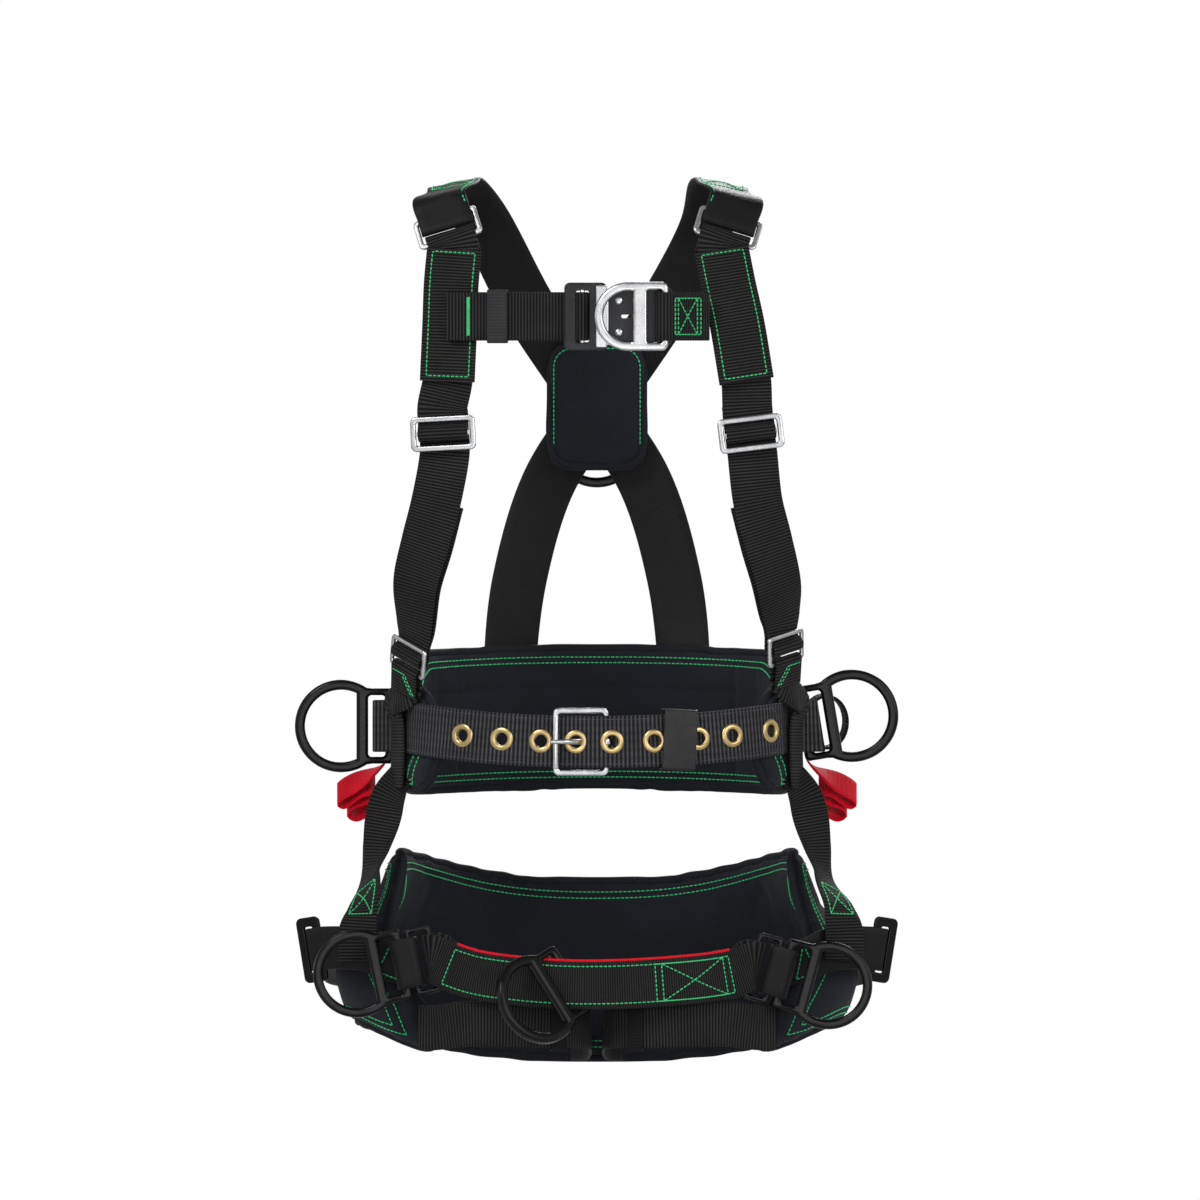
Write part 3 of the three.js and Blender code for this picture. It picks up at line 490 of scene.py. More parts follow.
class Nodes:
    """Small helper that strings shader nodes together."""

    def __init__(self, name):
        self.material = bpy.data.materials.new(name)
        self.material.use_nodes = True
        self.tree = self.material.node_tree
        self.shader = self.tree.nodes["Principled BSDF"]

    def add(self, kind, inputs=(), **settings):
        node = self.tree.nodes.new(kind)
        for key, value in settings.items():
            setattr(node, key, value)
        for key, value in dict(inputs).items():
            self.put(node.inputs[key], value)
        return node

    def put(self, socket, value):
        if isinstance(value, bpy.types.NodeSocket):
            self.tree.links.new(value, socket)
        else:
            socket.default_value = value

    def run(self):
        """The UV map and its two parts, along and across, in metres."""
        uv = self.add("ShaderNodeUVMap").outputs["UV"]
        along, width, _ = self.add("ShaderNodeSeparateXYZ", {0: uv}).outputs
        return uv, along, width

    def place(self):
        return self.add("ShaderNodeTexCoord").outputs["Object"]

    def math(self, operation, a, b=0.0):
        return self.add("ShaderNodeMath", {0: a, 1: b}, operation=operation).outputs[0]

    def times(self, a, b):
        return self.math("MULTIPLY", a, b)

    def plus(self, a, b):
        return self.math("ADD", a, b)

    def noise(self, scale, vector=None, detail=3.0, rough=0.5):
        inputs = {"Scale": scale, "Detail": detail, "Roughness": rough}
        if vector is not None:
            inputs["Vector"] = vector
        return self.add("ShaderNodeTexNoise", inputs).outputs["Fac"]

    def ramp(self, fac, stops):
        node = self.add("ShaderNodeValToRGB", {"Fac": fac})
        elements = node.color_ramp.elements
        while len(elements) < len(stops):
            elements.new(0.5)
        for element, (at, colour) in zip(elements, stops):
            element.position = at
            element.color = (*colour, 1)
        return node.outputs["Color"]

    def tones(self, fac, colour, *stops):
        """Shades of a colour at (place, brightness) stops."""
        return self.ramp(fac, [(at, [min(1, c * k) for c in colour]) for at, k in stops])

    def bump(self, height, distance, strength=1.0, under=None):
        inputs = {"Height": height, "Distance": distance, "Strength": strength}
        if under is not None:
            inputs["Normal"] = under
        return self.add("ShaderNodeBump", inputs).outputs["Normal"]

    def shade(self, **inputs):
        for key, value in inputs.items():
            self.put(self.shader.inputs[key.replace("_", " ")], value)
        return self.material


def grey(value):
    return (value, value, value)


def woven(name, colour, rib, column, lift, rough=0.62, depth=0.75, sheen=0.02, worn=4.2, shine=0.08):
    """Webbing: weft ribs across the strap over columns of warp yarn, with a painted highlight on the rib
    tops and painted shade in the grooves. Sizes in millimetres.
    """
    n = Nodes(name)
    uv, along, width = n.run()
    x = n.math("DIVIDE", along, rib * MM)
    y = n.math("DIVIDE", width, column * MM)
    ribs, yarn = (n.math("POWER", n.math("ABSOLUTE", n.math("SINE", n.times(t, pi))), sharpness)
                  for t, sharpness in ((x, 1.3), (y, 0.6)))
    height = n.times(ribs, n.plus(n.times(yarn, 0.25), 0.75))
    fuzz = n.noise(2600.0, uv, 2.0)
    patch = n.noise(28.0, uv, 4.0, 0.6)
    mixed = n.plus(n.times(height, 0.8), n.times(fuzz, 0.2))
    tone = n.times(mixed, n.plus(n.times(patch, 0.5), 0.75))
    # Painted light and shade: the colour follows the height of the ribs, so the raised ribs get a painted
    # highlight of up to worn times the colour and the grooves get painted shade down to 1 - depth of it; the
    # patch and fuzz noise add real uneven tone.
    base = n.tones(tone, colour, (0.15, 1 - depth), (0.55, 1), (0.95, worn))
    body = n.plus(height, n.times(fuzz, 0.25))
    normal = n.bump(body, lift * MM, 1.0)
    normal = n.bump(patch, 0.5 * MM, 0.25, normal)
    gloss = n.ramp(fuzz, [(0.2, grey(rough - 0.1)), (0.8, grey(min(1, rough + 0.14)))])
    return n.shade(Base_Color=base, Roughness=gloss, Normal=normal, Sheen_Weight=sheen, Sheen_Roughness=0.4,
                   Specular_IOR_Level=shine)


def padding(name, colour):
    """Cloth over foam: fine knit with slow changes of tone."""
    pitch = 1.7 * MM
    n = Nodes(name)
    uv, along, width = n.run()
    a = n.times(n.plus(along, width), pi / pitch)
    b = n.times(n.math("SUBTRACT", along, width), pi / pitch)
    knit = n.math("ABSOLUTE", n.times(n.math("SINE", a), n.math("SINE", b)))
    fuzz = n.noise(2200.0, uv, 2.0)
    patch = n.noise(16.0, uv, 5.0, 0.6)
    tone = n.plus(n.times(knit, 0.45), n.times(patch, 0.6))
    base = n.tones(tone, colour, (0.1, 0.45), (0.5, 1), (0.95, 1.7))
    normal = n.bump(n.plus(knit, n.times(fuzz, 0.3)), 0.25 * MM, 1.0)
    normal = n.bump(patch, 2.0 * MM, 0.3, normal)
    return n.shade(Base_Color=base, Roughness=0.85, Normal=normal, Sheen_Weight=0.05, Sheen_Roughness=0.5,
                   Specular_IOR_Level=0.15)


def metal(name, colour, rough, metallic=1.0, wear=1.25, shine=0.5):
    """Plated or coated metal with faint scratches, uneven gloss and worn high spots."""
    n = Nodes(name)
    scratch = 0.012 * MM
    at = n.place()
    blotch = n.noise(55.0, at, 5.0, 0.65)
    fine = n.noise(900.0, at, 2.0)
    stretched = n.add("ShaderNodeMapping", {"Vector": at, "Scale": (40.0, 900.0, 260.0)}).outputs[0]
    lines = n.noise(2.0, stretched, 3.0, 0.7)
    base = n.tones(blotch, colour, (0.3, 0.86), (0.55, 1), (0.8, wear))
    spread = n.plus(n.times(blotch, 0.5), n.times(lines, 0.5))
    gloss = n.ramp(spread, [(0.25, grey(max(0.05, rough - 0.1))), (0.75, grey(rough + 0.14))])
    normal = n.bump(lines, scratch, 0.4)
    normal = n.bump(fine, scratch, 0.3, normal)
    return n.shade(Base_Color=base, Roughness=gloss, Normal=normal, Metallic=metallic,
                   Specular_IOR_Level=shine)


def moulded(name, colour, rough=0.5, grain=420.0, lift=0.12):
    """Leather or moulded plastic: fine cells and creases."""
    n = Nodes(name)
    at = n.place()
    voronoi = n.add("ShaderNodeTexVoronoi", {"Vector": at, "Scale": grain}, feature="F1")
    cells = voronoi.outputs["Distance"]
    creases = n.noise(90.0, at, 6.0, 0.7)
    base = n.tones(creases, colour, (0.3, 0.7), (0.55, 1), (0.8, 1.7))
    gloss = n.ramp(cells, [(0.1, grey(rough - 0.08)), (0.6, grey(rough + 0.15))])
    normal = n.bump(cells, lift * MM, 0.7)
    normal = n.bump(creases, 0.5 * MM, 0.35, normal)
    return n.shade(Base_Color=base, Roughness=gloss, Normal=normal, Specular_IOR_Level=0.3)


def thread(name, colour):
    """Bonded thread: two-ply twist."""
    n = Nodes(name)
    at = n.place()
    ply = n.add("ShaderNodeTexWave", {"Vector": at, "Scale": 420.0, "Distortion": 2.0},
                bands_direction="DIAGONAL").outputs["Fac"]
    tone = n.noise(160.0, at, 3.0)
    mixed = n.plus(n.times(ply, 0.45), n.times(tone, 0.6))
    base = n.tones(mixed, colour, (0.15, 0.6), (0.55, 1), (0.9, 1.35))
    return n.shade(Base_Color=base, Roughness=0.5, Normal=n.bump(ply, 0.08 * MM), Sheen_Weight=0.2)


BLACK = (0.0066, 0.0065, 0.0064)
# In the woven looks, worn sets how bright the painted highlight on the rib tops is, and depth sets how dark
# the painted shade in the grooves is.
LOOKS = {
    "webbing": (woven, dict(colour=BLACK, rib=2.8, column=1.9, lift=0.5)),
    "smooth": (woven, dict(colour=(0.0036, 0.0036, 0.0038), rib=1.1, column=1.1, lift=0.14, rough=0.42,
                           worn=2, shine=0.14)),
    "bridge": (woven, dict(colour=BLACK, rib=2.1, column=1.6, lift=0.42)),
    "belt": (woven, dict(colour=(0.019, 0.019, 0.021), rib=3.8, column=7.5, lift=0.9, rough=0.7, worn=3.2)),
    "elastic": (woven, dict(colour=(0.026, 0.026, 0.028), rib=1.3, column=1.2, lift=0.3, rough=0.75,
                            worn=1.8)),
    "dark_elastic": (woven, dict(colour=(0.005, 0.005, 0.0053), rib=1.3, column=1.2, lift=0.3, worn=2.2)),
    "red": (woven, dict(colour=(0.6, 0.004, 0.018), rib=1.3, column=1.2, lift=0.2, depth=0.5, sheen=0,
                        worn=1.3)),
    "pad": (padding, dict(colour=(0.0075, 0.0095, 0.0135))),
    "binding": (woven, dict(colour=(0.009, 0.0105, 0.013), rib=1.2, column=1.1, lift=0.22, rough=0.7,
                            worn=2.2)),
    "thread": (thread, dict(colour=(0.008, 0.42, 0.135))),
    "black_thread": (thread, dict(colour=(0.01, 0.01, 0.01))),
    "steel": (metal, dict(colour=(0.5, 0.51, 0.52), rough=0.26, wear=1.2)),
    "gunmetal": (metal, dict(colour=(0.014, 0.0145, 0.016), rough=0.3, metallic=0.4, wear=2, shine=0.3)),
    "alloy": (metal, dict(colour=(0.0022, 0.0022, 0.0025), rough=0.2, metallic=0.0, wear=1.8, shine=0.16)),
    "brass": (metal, dict(colour=(0.46, 0.35, 0.16), rough=0.32)),
    "leather": (moulded, dict(colour=(0.008, 0.008, 0.009), rough=0.42)),
    "plastic": (moulded, dict(colour=(0.014, 0.014, 0.015), grain=900.0, lift=0.05)),
}
SLOTS = {look: look for look in ("webbing", "belt", "elastic", "red", "pad", "steel", "gunmetal", "alloy",
                                 "leather", "plastic")}
SLOTS |= {"smooth": "webbing", "bridge": "webbing", "dark_elastic": "elastic", "binding": "pad"}


def material(look):
    """The material of a look, made on its first use."""
    if look not in MATERIALS:
        make, settings = LOOKS[look]
        MATERIALS[look] = make(look, **settings)
    return MATERIALS[look]


def woven_piece(node, strap, look):
    return piece(f"{node}_woven", strap.mesh(), look, node=node)


def lay(node, look, controls, width=WEB, thickness=WEB_T):
    """Strap through controls (point, width direction), made into the piece of its node."""
    strap = Strap(through(controls), width, thickness)
    woven_piece(node, strap, look)
    return strap


# ---- the belt loop: t is 0 at the front, 90 at the wearer's left, 180 at the back ----
def belt_height(t):
    c = cos(t)
    return 8 - 14 * c * c if c > 0 else 8 + 6 * c * c


def power(x, k):
    return copysign(abs(x) ** k, x)


def loop_point(degrees, a, b, z, offset):
    t = radians(degrees)
    x = power(sin(t), 2 / SQUARE)
    y = -power(cos(t), 2 / SQUARE)
    out = V(power(x, SQUARE - 1) / a, power(y, SQUARE - 1) / b, 0).normalized()
    return V(x * a, y * b, z) + out * offset


def belt_point(degrees, offset=0.0, lift=0.0):
    return loop_point(degrees, BELT_A, BELT_B, belt_height(radians(degrees)) + lift, offset)


def ring_bulge(p):
    """How far the belt stands out where it passes through a side ring."""
    return RING_STAND * (1 - smooth(7, 21, abs(p.y - RING_Y))) if abs(p.x) > 100 else 0


def ring_lean(p):
    if p.x <= 100:
        return UP
    lean = radians(LEFT["ring_tilt"]) * (1 - smooth(9, 20, abs(p.y - RING_Y)))
    return V(-sin(lean), 0, cos(lean))


def belt_run(start, end, offset_at):
    count = ceil(abs(end - start) * 3)
    path = []
    for t in spread(start, end, count):
        p = belt_point(t, offset_at(belt_point(t)))
        path.append((p, ring_lean(p)))
    return path


def front_y(x, offset):
    return -BELT_B * (1 - abs(x / BELT_A) ** SQUARE) ** (1 / SQUARE) - offset


def front_z(x):
    return 8 - 14 * (1 - abs(x / BELT_A) ** SQUARE)


# ---- shared metal shapes ----
def d_ring(scale=1.0):
    end = RING_SLOT + 4
    outline = arc(0, 0, RING_R, 56, 304, 5)
    outline += arc(29.5, -30.9, 2.5, 250, 280, 15) + arc(end - 4, -29.4, 4, -90, 0, 22)
    outline += arc(end - 4, 29.4, 4, 0, 90, 22) + arc(29.5, 30.9, 2.5, 80, 110, 15)
    inner = RING_R - RING_BAR
    chord = degrees(acos(15.5 / inner))
    eye = arc(0, 0, inner, chord + 4, 356 - chord, 5)
    mesh = plate(outline, [eye, round_rect(15, 54.4, 3, 31.5, 0)], RING_BAR, 3.1, 4)
    mesh.transform(Matrix.Scale(scale, 4))
    return mesh


def wire_link(width, height, wire, thickness, middle_bar=False):
    inner = height - 2 * wire
    holes = [round_rect(width - 2 * wire, inner, 1.8)]
    if middle_bar:
        tall, up = (inner - wire) / 2, (inner + wire) / 4
        holes = [round_rect(width - 2 * wire, tall, 1.3, 0, k * up) for k in (-1, 1)]
    return plate(round_rect(width, height, wire), holes, thickness, thickness * 0.42, 4)


class Link:
    """Local frame of a link: u runs up its plane, w along its bars, n out of its face."""

    def __init__(self, origin, up, width):
        self.origin = origin
        self.w = width.normalized()
        self.u = (up - self.w * up.dot(self.w)).normalized()
        self.n = self.u.cross(self.w)
        if self.n.y > 0:
            self.n = -self.n

    def at(self, a, b):
        return self.origin + self.u * a + self.n * b

    def wrap(self, *places):
        """Controls of a strap led over the link's bars, at (up, out) places."""
        return [(self.at(a, b), self.w) for a, b in places]


# ---- shoulders ----
def shoulder_link(side):
    s = side["s"]
    return Link(V(s * 124 + SHOULDER_LEAN, -68, 449), V(0, 0.45, 0.89), V(s * 0.955, 0, -0.29))


def adjuster_link(side):
    s = side["s"]
    return Link(V(s * 136.3, -105.5, 267), V(-s * 0.08, 0, 1), across(s, 6, 0.122 if s > 0 else -0.052))


def shoulders(side):
    name, s = side["name"], side["s"]
    lean = s * SHOULDER_LEAN
    f = shoulder_link(side)
    fitted(f"shoulder_link_{name}", "plated", "steel", wire_link(58, 29, 4.6, 3.6), f.origin, f.w, f.u)

    over = 5.6 if s > 0 else 0
    rear = lay(f"rear_shoulder_strap_{name}", "smooth", [
        *f.wrap((33, -2.6), (14, -3.4), (1.5, -2.8), (-1.4, 0.6), (2.5, 3.7), (14, 3.8), (30, 2.2)),
        *worn(s, (120 + lean, -30, 484.5, 0, -0.25), (118 + lean, -2, 488, 0, -0.2),
              (112 + lean, 36, 482, -6, -0.2), (95, 84, 445, -22, -0.1), (60, 116, 378, -10, 0.3),
              (8, 130 + over, 300, 0, 0.45), (-42, 130 + over, 225, 0, 0.4), (-68, 125, 140, 4, 0.2)),
        (belt_point(-s * 157.5, 0.9, 62), across(s, 12)),
        (belt_point(-s * 157.5, 0.6, 35), across(s, 12)),
    ], 48)
    face = rear.facing(rear.length / 4, UP)
    rows = Stitching()
    top = rear.nearest(V(s * (120 + lean), -24, 486))
    rows.box(rear, top - 8, top + 46, 19, face, cross=True)
    rows.on(rear, [(rear.nearest(f.at(16, 3.8)), -21.5), (top - 12, -21.5)], face)
    low = rear.nearest(belt_point(-s * 157.5, 0.9, 55))
    rows.box(rear, low - 22, low + 14, 19, face, cross=True)
    rows.done(f"rear_shoulder_stitching_{name}")

    a = adjuster_link(side)
    lay(f"front_shoulder_strap_{name}", "webbing", [
        *f.wrap((-30, -3.8), (-16, -3.2), (-6.6, -2.8), (-4.4, 0.8), (-8, 3.5)),
        (f.at(-20, 2.8), across(s, 4, -0.1)),
        *worn(s, (122.5 + lean * 0.8, -89, 400, 6), (127 + lean * 0.4, -97, 365, 6), (132, -101.5, 315, 6)),
        *a.wrap((22, -4.2), (10.5, -3.9), (5.6, -0.6), (3.7, 2.6), (0, 3.4), (-3.7, 2.6), (-5.6, -0.6),
                (-5, -4.6), (0, -6.8), (12, -6.9), (26, -7)),
    ])

    patch = lay(f"chest_patch_{name}", "webbing", [
        (f.at(-26, 6.2), across(s, 4, -0.1)),
        *worn(s, (122.5 + lean * 0.8, -94.2, 400, 6), (127 + lean * 0.4, -102.6, 365, 6),
              (132.5, -107, 313, 6)),
    ], WEB + 4.5, 2.4)
    face = patch.facing(0)
    rows = Stitching()
    rows.box(patch, 3.2, patch.length - 4.5, WEB / 2 - 3.4, face)
    rows.done(f"chest_patch_stitching_{name}")


# ---- torso adjusters and lower links ----
def lower_link(side):
    s = side["s"]
    width = across(s, 55, -side["link_slope"])
    return Link(V(s * 167, -62, side["link_z"]), V(-s * 0.1, -0.35, 0.93), width)


def torso(side):
    name, s = side["name"], side["s"]
    a = adjuster_link(side)
    f = lower_link(side)
    bar = plate(round_rect(46.6, 5.4, 1.5), [], 3, 1.2)
    fitted(f"strap_adjuster_{name}", "plated", "steel", wire_link(58, 31, 5.2, 4), a.origin, a.w, a.u)
    fitted(f"adjuster_bar_{name}", "plated", "steel", bar, a.origin, a.w, a.u)
    fitted(f"lower_link_{name}", "plated", "steel", wire_link(54, 28, 4.2, 3.4, True), f.origin, f.w, f.u)

    turn = across(s, 46, f.w.z * 0.8)
    lay(f"torso_strap_{name}", "webbing", [
        *a.wrap((20, -9.9), (0, -9.9), (-16, -8.5)),
        *worn(s, (142.5, -99, 206, 10), (152, -93, 170, 18), (161, -83, 134, 30, 0.1)),
        (f.at(28, -3.5), turn),
        *f.wrap((11, -3.5), (5.6, -0.4), (3.5, 2.9), (0, 3.7), (-3, 2.9), (-4.3, 0), (-4.4, -3.6),
                (2, -6.8), (14, -7)),
        (f.at(28, -7.4), turn),
        *worn(s, (157, -77, 134, 30, 0.1), (148, -86.5, 170, 18), (139.5, -93, 206, 10)),
    ])

    riser = lay(f"belt_riser_{name}", "webbing", [
        *f.wrap((-34, 1.8), (-18, 3), (-11.4, 3.4), (-8.4, 2.2), (-7.9, -0.4), (-9.4, -3.2), (-18, -3.3),
                (-28, -2.8)),
        *((belt_point(s * 78, offset, lift), across(s, 74)) for offset, lift in (
            (10.7, 19), (6, 7), (4.6, -15), (5, -36), (6.4, -54))),
    ], 39)
    face = riser.facing(6)
    rows = Stitching()
    rows.on(riser, [(3, -18), (19, -3), (19, 16)], face)
    rows.on(riser, [(3, -14), (17, 0)], face)
    rows.done(f"belt_riser_stitching_{name}")


# ---- chest strap ----
def chest():
    z = CHEST_Z
    right = lay("chest_strap_right", "webbing", [(V(x, y, z), UP) for x, y in (
        (-104, -110.4), (-118, -109.4), (-129, -108.6), (-132, -110.4), (-129, -112.2), (-104, -114.2),
        (-75, -120), (-48, -124.6), (-26, -125.5), (-18.6, -128.4), (-17.2, -133), (-13, -135.8),
        (-8.8, -133), (-8.4, -128.6), (-12, -124.2), (-24, -122.4), (-50, -121))], 43)
    band = lay("chest_strap_left", "webbing", [(V(x, y, z), UP) for x, y in (
        (98, -112), (80, -123.4), (64, -131), (56.5, -132.4), (54, -136), (54, -144.5), (57.5, -148.4),
        (64, -147.6), (72, -140), (84, -127.6), (99, -115.4))], 43)
    rows = Stitching()
    front = right.nearest(V(-117, -113.2, z))
    face = right.facing(front)
    for k in range(34):
        v = k - 16.5
        rows.on(right, [(front, v - 0.5), (front + 4, v + 0.5)], face, stitch=9)
    start = band.nearest(V(68, -143.5, z))
    rows.box(band, start + 1, start + 33, 16, band.facing(start), cross=True, doubles=4)
    rows.done("chest_strap_stitching")

    loop = place(keeper(43.6, 3.8, 18, 2), V(-88, -117.5, z), UP, V(0.2, 1, 0))
    piece("chest_keeper_elastic", loop, "elastic", node="chest_keeper")

    shell = plate(round_rect(38, 60, 5), [round_rect(11.4, 45.6, 1.6, -2.8, 0)], 5, 1.4)
    fitted("chest_buckle_frame", "coated", "gunmetal", shell, V(-10, -130.6, z), LEFTWARD, UP)
    roller = rod(V(-13, -131.6, z - 23.6), V(-13, -131.6, z + 23.6), 2.2)
    piece("chest_buckle_roller_plated", roller, "steel", node="chest_buckle_roller")
    latch = plate(round_rect(10, 55, 1.8), [], 3, 1.1)
    fitted("chest_latch_plate", "plated", "steel", latch, V(4, -135.4, z), LEFTWARD, UP)
    holes = [round_rect(6, 44.6, 1.5, 16, 0), round_rect(9, 3, 1.4, -12, 0)]
    tongue = plate(round_rect(56, 52, 4), holes, 3.2, 1)
    fitted("chest_buckle_tongue", "coated", "gunmetal", tongue, V(38, -135, z), LEFTWARD, UP)
    rivet = [(0.01, -136), (3.9, -136), (3.9, -137.4), (3.2, -138.8), (1.9, -139.5), (0.01, -139.6)]
    for label, dz in (("upper", 14), ("lower", -14)):
        piece(f"chest_rivet_{label}", lathe(rivet, V(19.5, 0, z + dz), REARWARD, 24), "steel")
    fitted("chest_d_ring", "plated", "steel", chest_ring(), V(31, -143.2, z), LEFTWARD, UP)


def chest_ring():
    outline = arc(-3, 0, 30.5, 90, 270, 6) + arc(26, -24.5, 6, -90, 0, 15) + arc(26, 24.5, 6, 0, 90, 15)
    eye = arc(-3, 0, 22.5, 80, 280, 6)
    return plate(outline, [eye, round_rect(13, 46.5, 2, 20, 0)], 7, 2.6, 4)


def keeper(width, height, length, wall):
    """Band of elastic or leather round a strap, drawn square to it."""
    hole = round_rect(width, height, min(1.6, height * 0.3))
    return plate(round_rect(width + 2 * wall, height + 2 * wall, wall * 1.2), [hole], length, 0.7, 2)


# ---- back ----
def dorsal():
    hinge = V(0, 153.4, 303)
    fitted("dorsal_d_ring", "forged", "alloy", d_ring(), hinge - UP * RING_SLOT, UP, LEFTWARD)
    slots = [round_rect(50, 7, 2, 0, 12), round_rect(50, 7, 2, 0, -6)]
    hard = place(plate(round_rect(74, 66, 12), slots, 3.4, 1.2), V(0, 145.4, 300), LEFTWARD, UP)
    piece("dorsal_plate_moulded", hard, "plastic", node="dorsal_plate")
    lay("dorsal_loop", "webbing", [(V(0, y, z), LEFTWARD) for y, z in (
        (141.6, 328), (141.6, 317), (144.4, 313), (154, 311.4), (160.6, 303), (154, 294.6),
        (144.4, 293.6), (141.6, 290), (141.6, 280))])


# ---- waist belt ----
def tongue_offset(p):
    return 3.3 * smooth(-30, 4, p.x) if p.y < 0 else 0


def bake(obj):
    """Makes what an object's modifiers do part of its mesh."""
    obj.data = evaluated(obj)
    obj.modifiers.clear()


def cut(obj, cutters):
    """Cuts holes through a mesh for good."""
    for cutter in cutters:
        change = obj.modifiers.new("cut", "BOOLEAN")
        change.object = cutter
        change.operation = "DIFFERENCE"
        change.solver = "EXACT"
    bake(obj)
    for cutter in cutters:
        bpy.data.objects.remove(cutter)


def belt():
    pivot = V(8, front_y(8, -3.7), front_z(8))
    fold = [(V(x, front_y(x, o), front_z(x)), UP) for x, o in (
        (52, -7.5), (38, -7.5), (24, -7.5), (13, -7.5), (8, -7.4), (3.8, -5.8), (3.6, -2.2),
        (6.6, -0.2), (11, 0))]
    base = Strap(fold + belt_run(7.5, 284, ring_bulge), BELT_W, BELT_T, step=FINE_STEP)
    obj = woven_piece("belt_base_strap", base, "belt")
    bpy.ops.mesh.primitive_cube_add(location=V(3, pivot.y, pivot.z) * MM)
    slot = bpy.context.object
    slot.scale = V(26, 14, 7.4) * (MM / 2)
    cut(obj, [slot])

    tongue = Strap(belt_run(-73, 65.4, tongue_offset), BELT_W, BELT_T, step=FINE_STEP)
    obj = woven_piece("belt_tongue_strap", tongue, "belt")
    profile = [(GROMMET_HOLE, -1.6), (GROMMET_HOLE, 1.6), (GROMMET_HOLE + 0.7, 2.5),
               (GROMMET_HOLE + 2.2, 2.9), (GROMMET_R - 1.4, 2.5), (GROMMET_R - 0.2, 1.9),
               (GROMMET_R, 1.45), (GROMMET_R - 0.5, 1.35), (7.5, 1.35), (7.5, -1.6)]
    cutters = []
    for i, x in enumerate(GROMMETS):
        t = copysign(degrees(asin(abs(x / BELT_A) ** (SQUARE / 2))), x)
        here = belt_point(t, tongue_offset(V(x, -1, 0)))
        out = (belt_point(t, 10) - belt_point(t)).normalized()
        cutters.append(in_scene("cutter", rod(here - out * 6, here + out * 6, 7.6, 0.4, 24)))
        piece(f"grommet_{i + 1}", lathe(profile, here, out), "brass")
    cut(obj, cutters)
    rows = Stitching()
    edge = BELT_W / 2 - 3.2
    rows.on(tongue, [(4, -edge), (tongue.length - 14, -edge), (tongue.length - 4, 0),
                     (tongue.length - 14, edge), (4, edge)], tongue.facing(20), stitch=2.4, thread=0.4)
    rows.done("belt_tongue_stitching", "black_thread")
    belt_buckle(pivot)
    at = 72
    along = V(at + 5, front_y(at + 5, 0), front_z(at + 5)) - V(at - 5, front_y(at - 5, 0), front_z(at - 5))
    lean = V(0.05, 0, 1)
    band = keeper(BELT_W + 3.6, 12, 30, 2.2)
    band = place(band, V(at, front_y(at, 2.2), front_z(at)), lean, along.cross(lean))
    piece("belt_keeper_leather", band, "leather", node="belt_keeper")


def belt_buckle(pivot):
    z = pivot.z
    left = V(-36.5, front_y(-36.5, 5.6), z)
    length = (pivot - left).length
    window = round_rect(length - 4.4, 50, 2.5)
    mesh = plate(round_rect(length + 4.4, 60, 5), [window], 3.6, 1.5, 4)
    fitted("belt_buckle_frame", "plated", "steel", mesh, (pivot + left) / 2, pivot - left, UP)
    bar = left - V(0, 0.8, 0)
    piece("belt_buckle_roller", rod(bar - UP * 24, bar + UP * 24, 2.5, 0.9), "steel", "belt_buckle")
    path = curve_points([V(x, front_y(x, o), z) for x, o in (
        (3.9, -2.3), (-3, -2.1), (-10, -2.8), (-14.5, -2.2), (-18.5, 1.2), (-22.5, 5), (-29, 8.9),
        (-40.5, 10.6))], 60)
    prong = sweep(path, lambda f: 2.3 - 0.5 * smooth(0.75, 1, f), 16)
    piece("belt_buckle_prong_plated", prong, "steel", node="belt_buckle_prong")
    eye = lathe([(3.1, -2.2), (5.2, -2.2), (5.4, 0), (5.2, 2.2), (3.1, 2.2)], pivot, UP, 28)
    piece("belt_prong_eye", eye, "steel", "belt_prong")


# ---- rings and loops at the sides ----
def side_ring(side):
    name, s = side["name"], side["s"]
    tilt = radians(side["ring_tilt"])
    hinge = V(s * 183.4, RING_Y, side["ring_z"])
    x = V(-s * cos(tilt), 0, -sin(tilt))
    up = V(x.z * s, 0, abs(x.x))
    fitted(f"side_d_ring_{name}", "forged", "alloy", d_ring(), hinge - x * RING_SLOT, x, up)
    red = Strap(through([(V(s * x, LOOP_Y, z), REARWARD) for x, z in (
        (173, 48), (182, 40), (184, 8), (186, -22), (203, -36), (226, -49), (229.5, -53), (224, -56),
        (206, -45), (197, -45), (203, -51.5), (217, -57), (220.5, -63), (213, -67), (199, -60),
        (186, -50))]), 25, 1.8)
    obj = woven_piece(f"gear_loop_{name}", red, "red")
    for v in obj.data.vertices:
        p = v.co / MM
        v.co.z += 0.75 * smooth(-24, -44, p.z) * (p.y - LOOP_Y) * MM


def accessory_loop():
    path = []
    for a in spread(0, 2 * pi, 48)[:-1]:
        path.append((V(202 + 18 * cos(a), 52, 12 + 23 * sin(a)), V(-0.3, 1, 0.1)))
    woven_piece("accessory_loop_left", Strap(path, 16, 2.4, True, step=1.6), "webbing")


# ---- hips ----
class Hip:
    def __init__(self, side):
        s = side["s"]
        a = radians(side["hip_tilt"])
        self.x = V(-s * cos(a), 0, sin(a))
        self.up = V(s * sin(a), 0, cos(a))
        self.slot = V(s * side["hip_x"], -90, side["hip_z"])

    def at(self, a, b):
        return self.slot + self.x * a + V(0, b, 0)


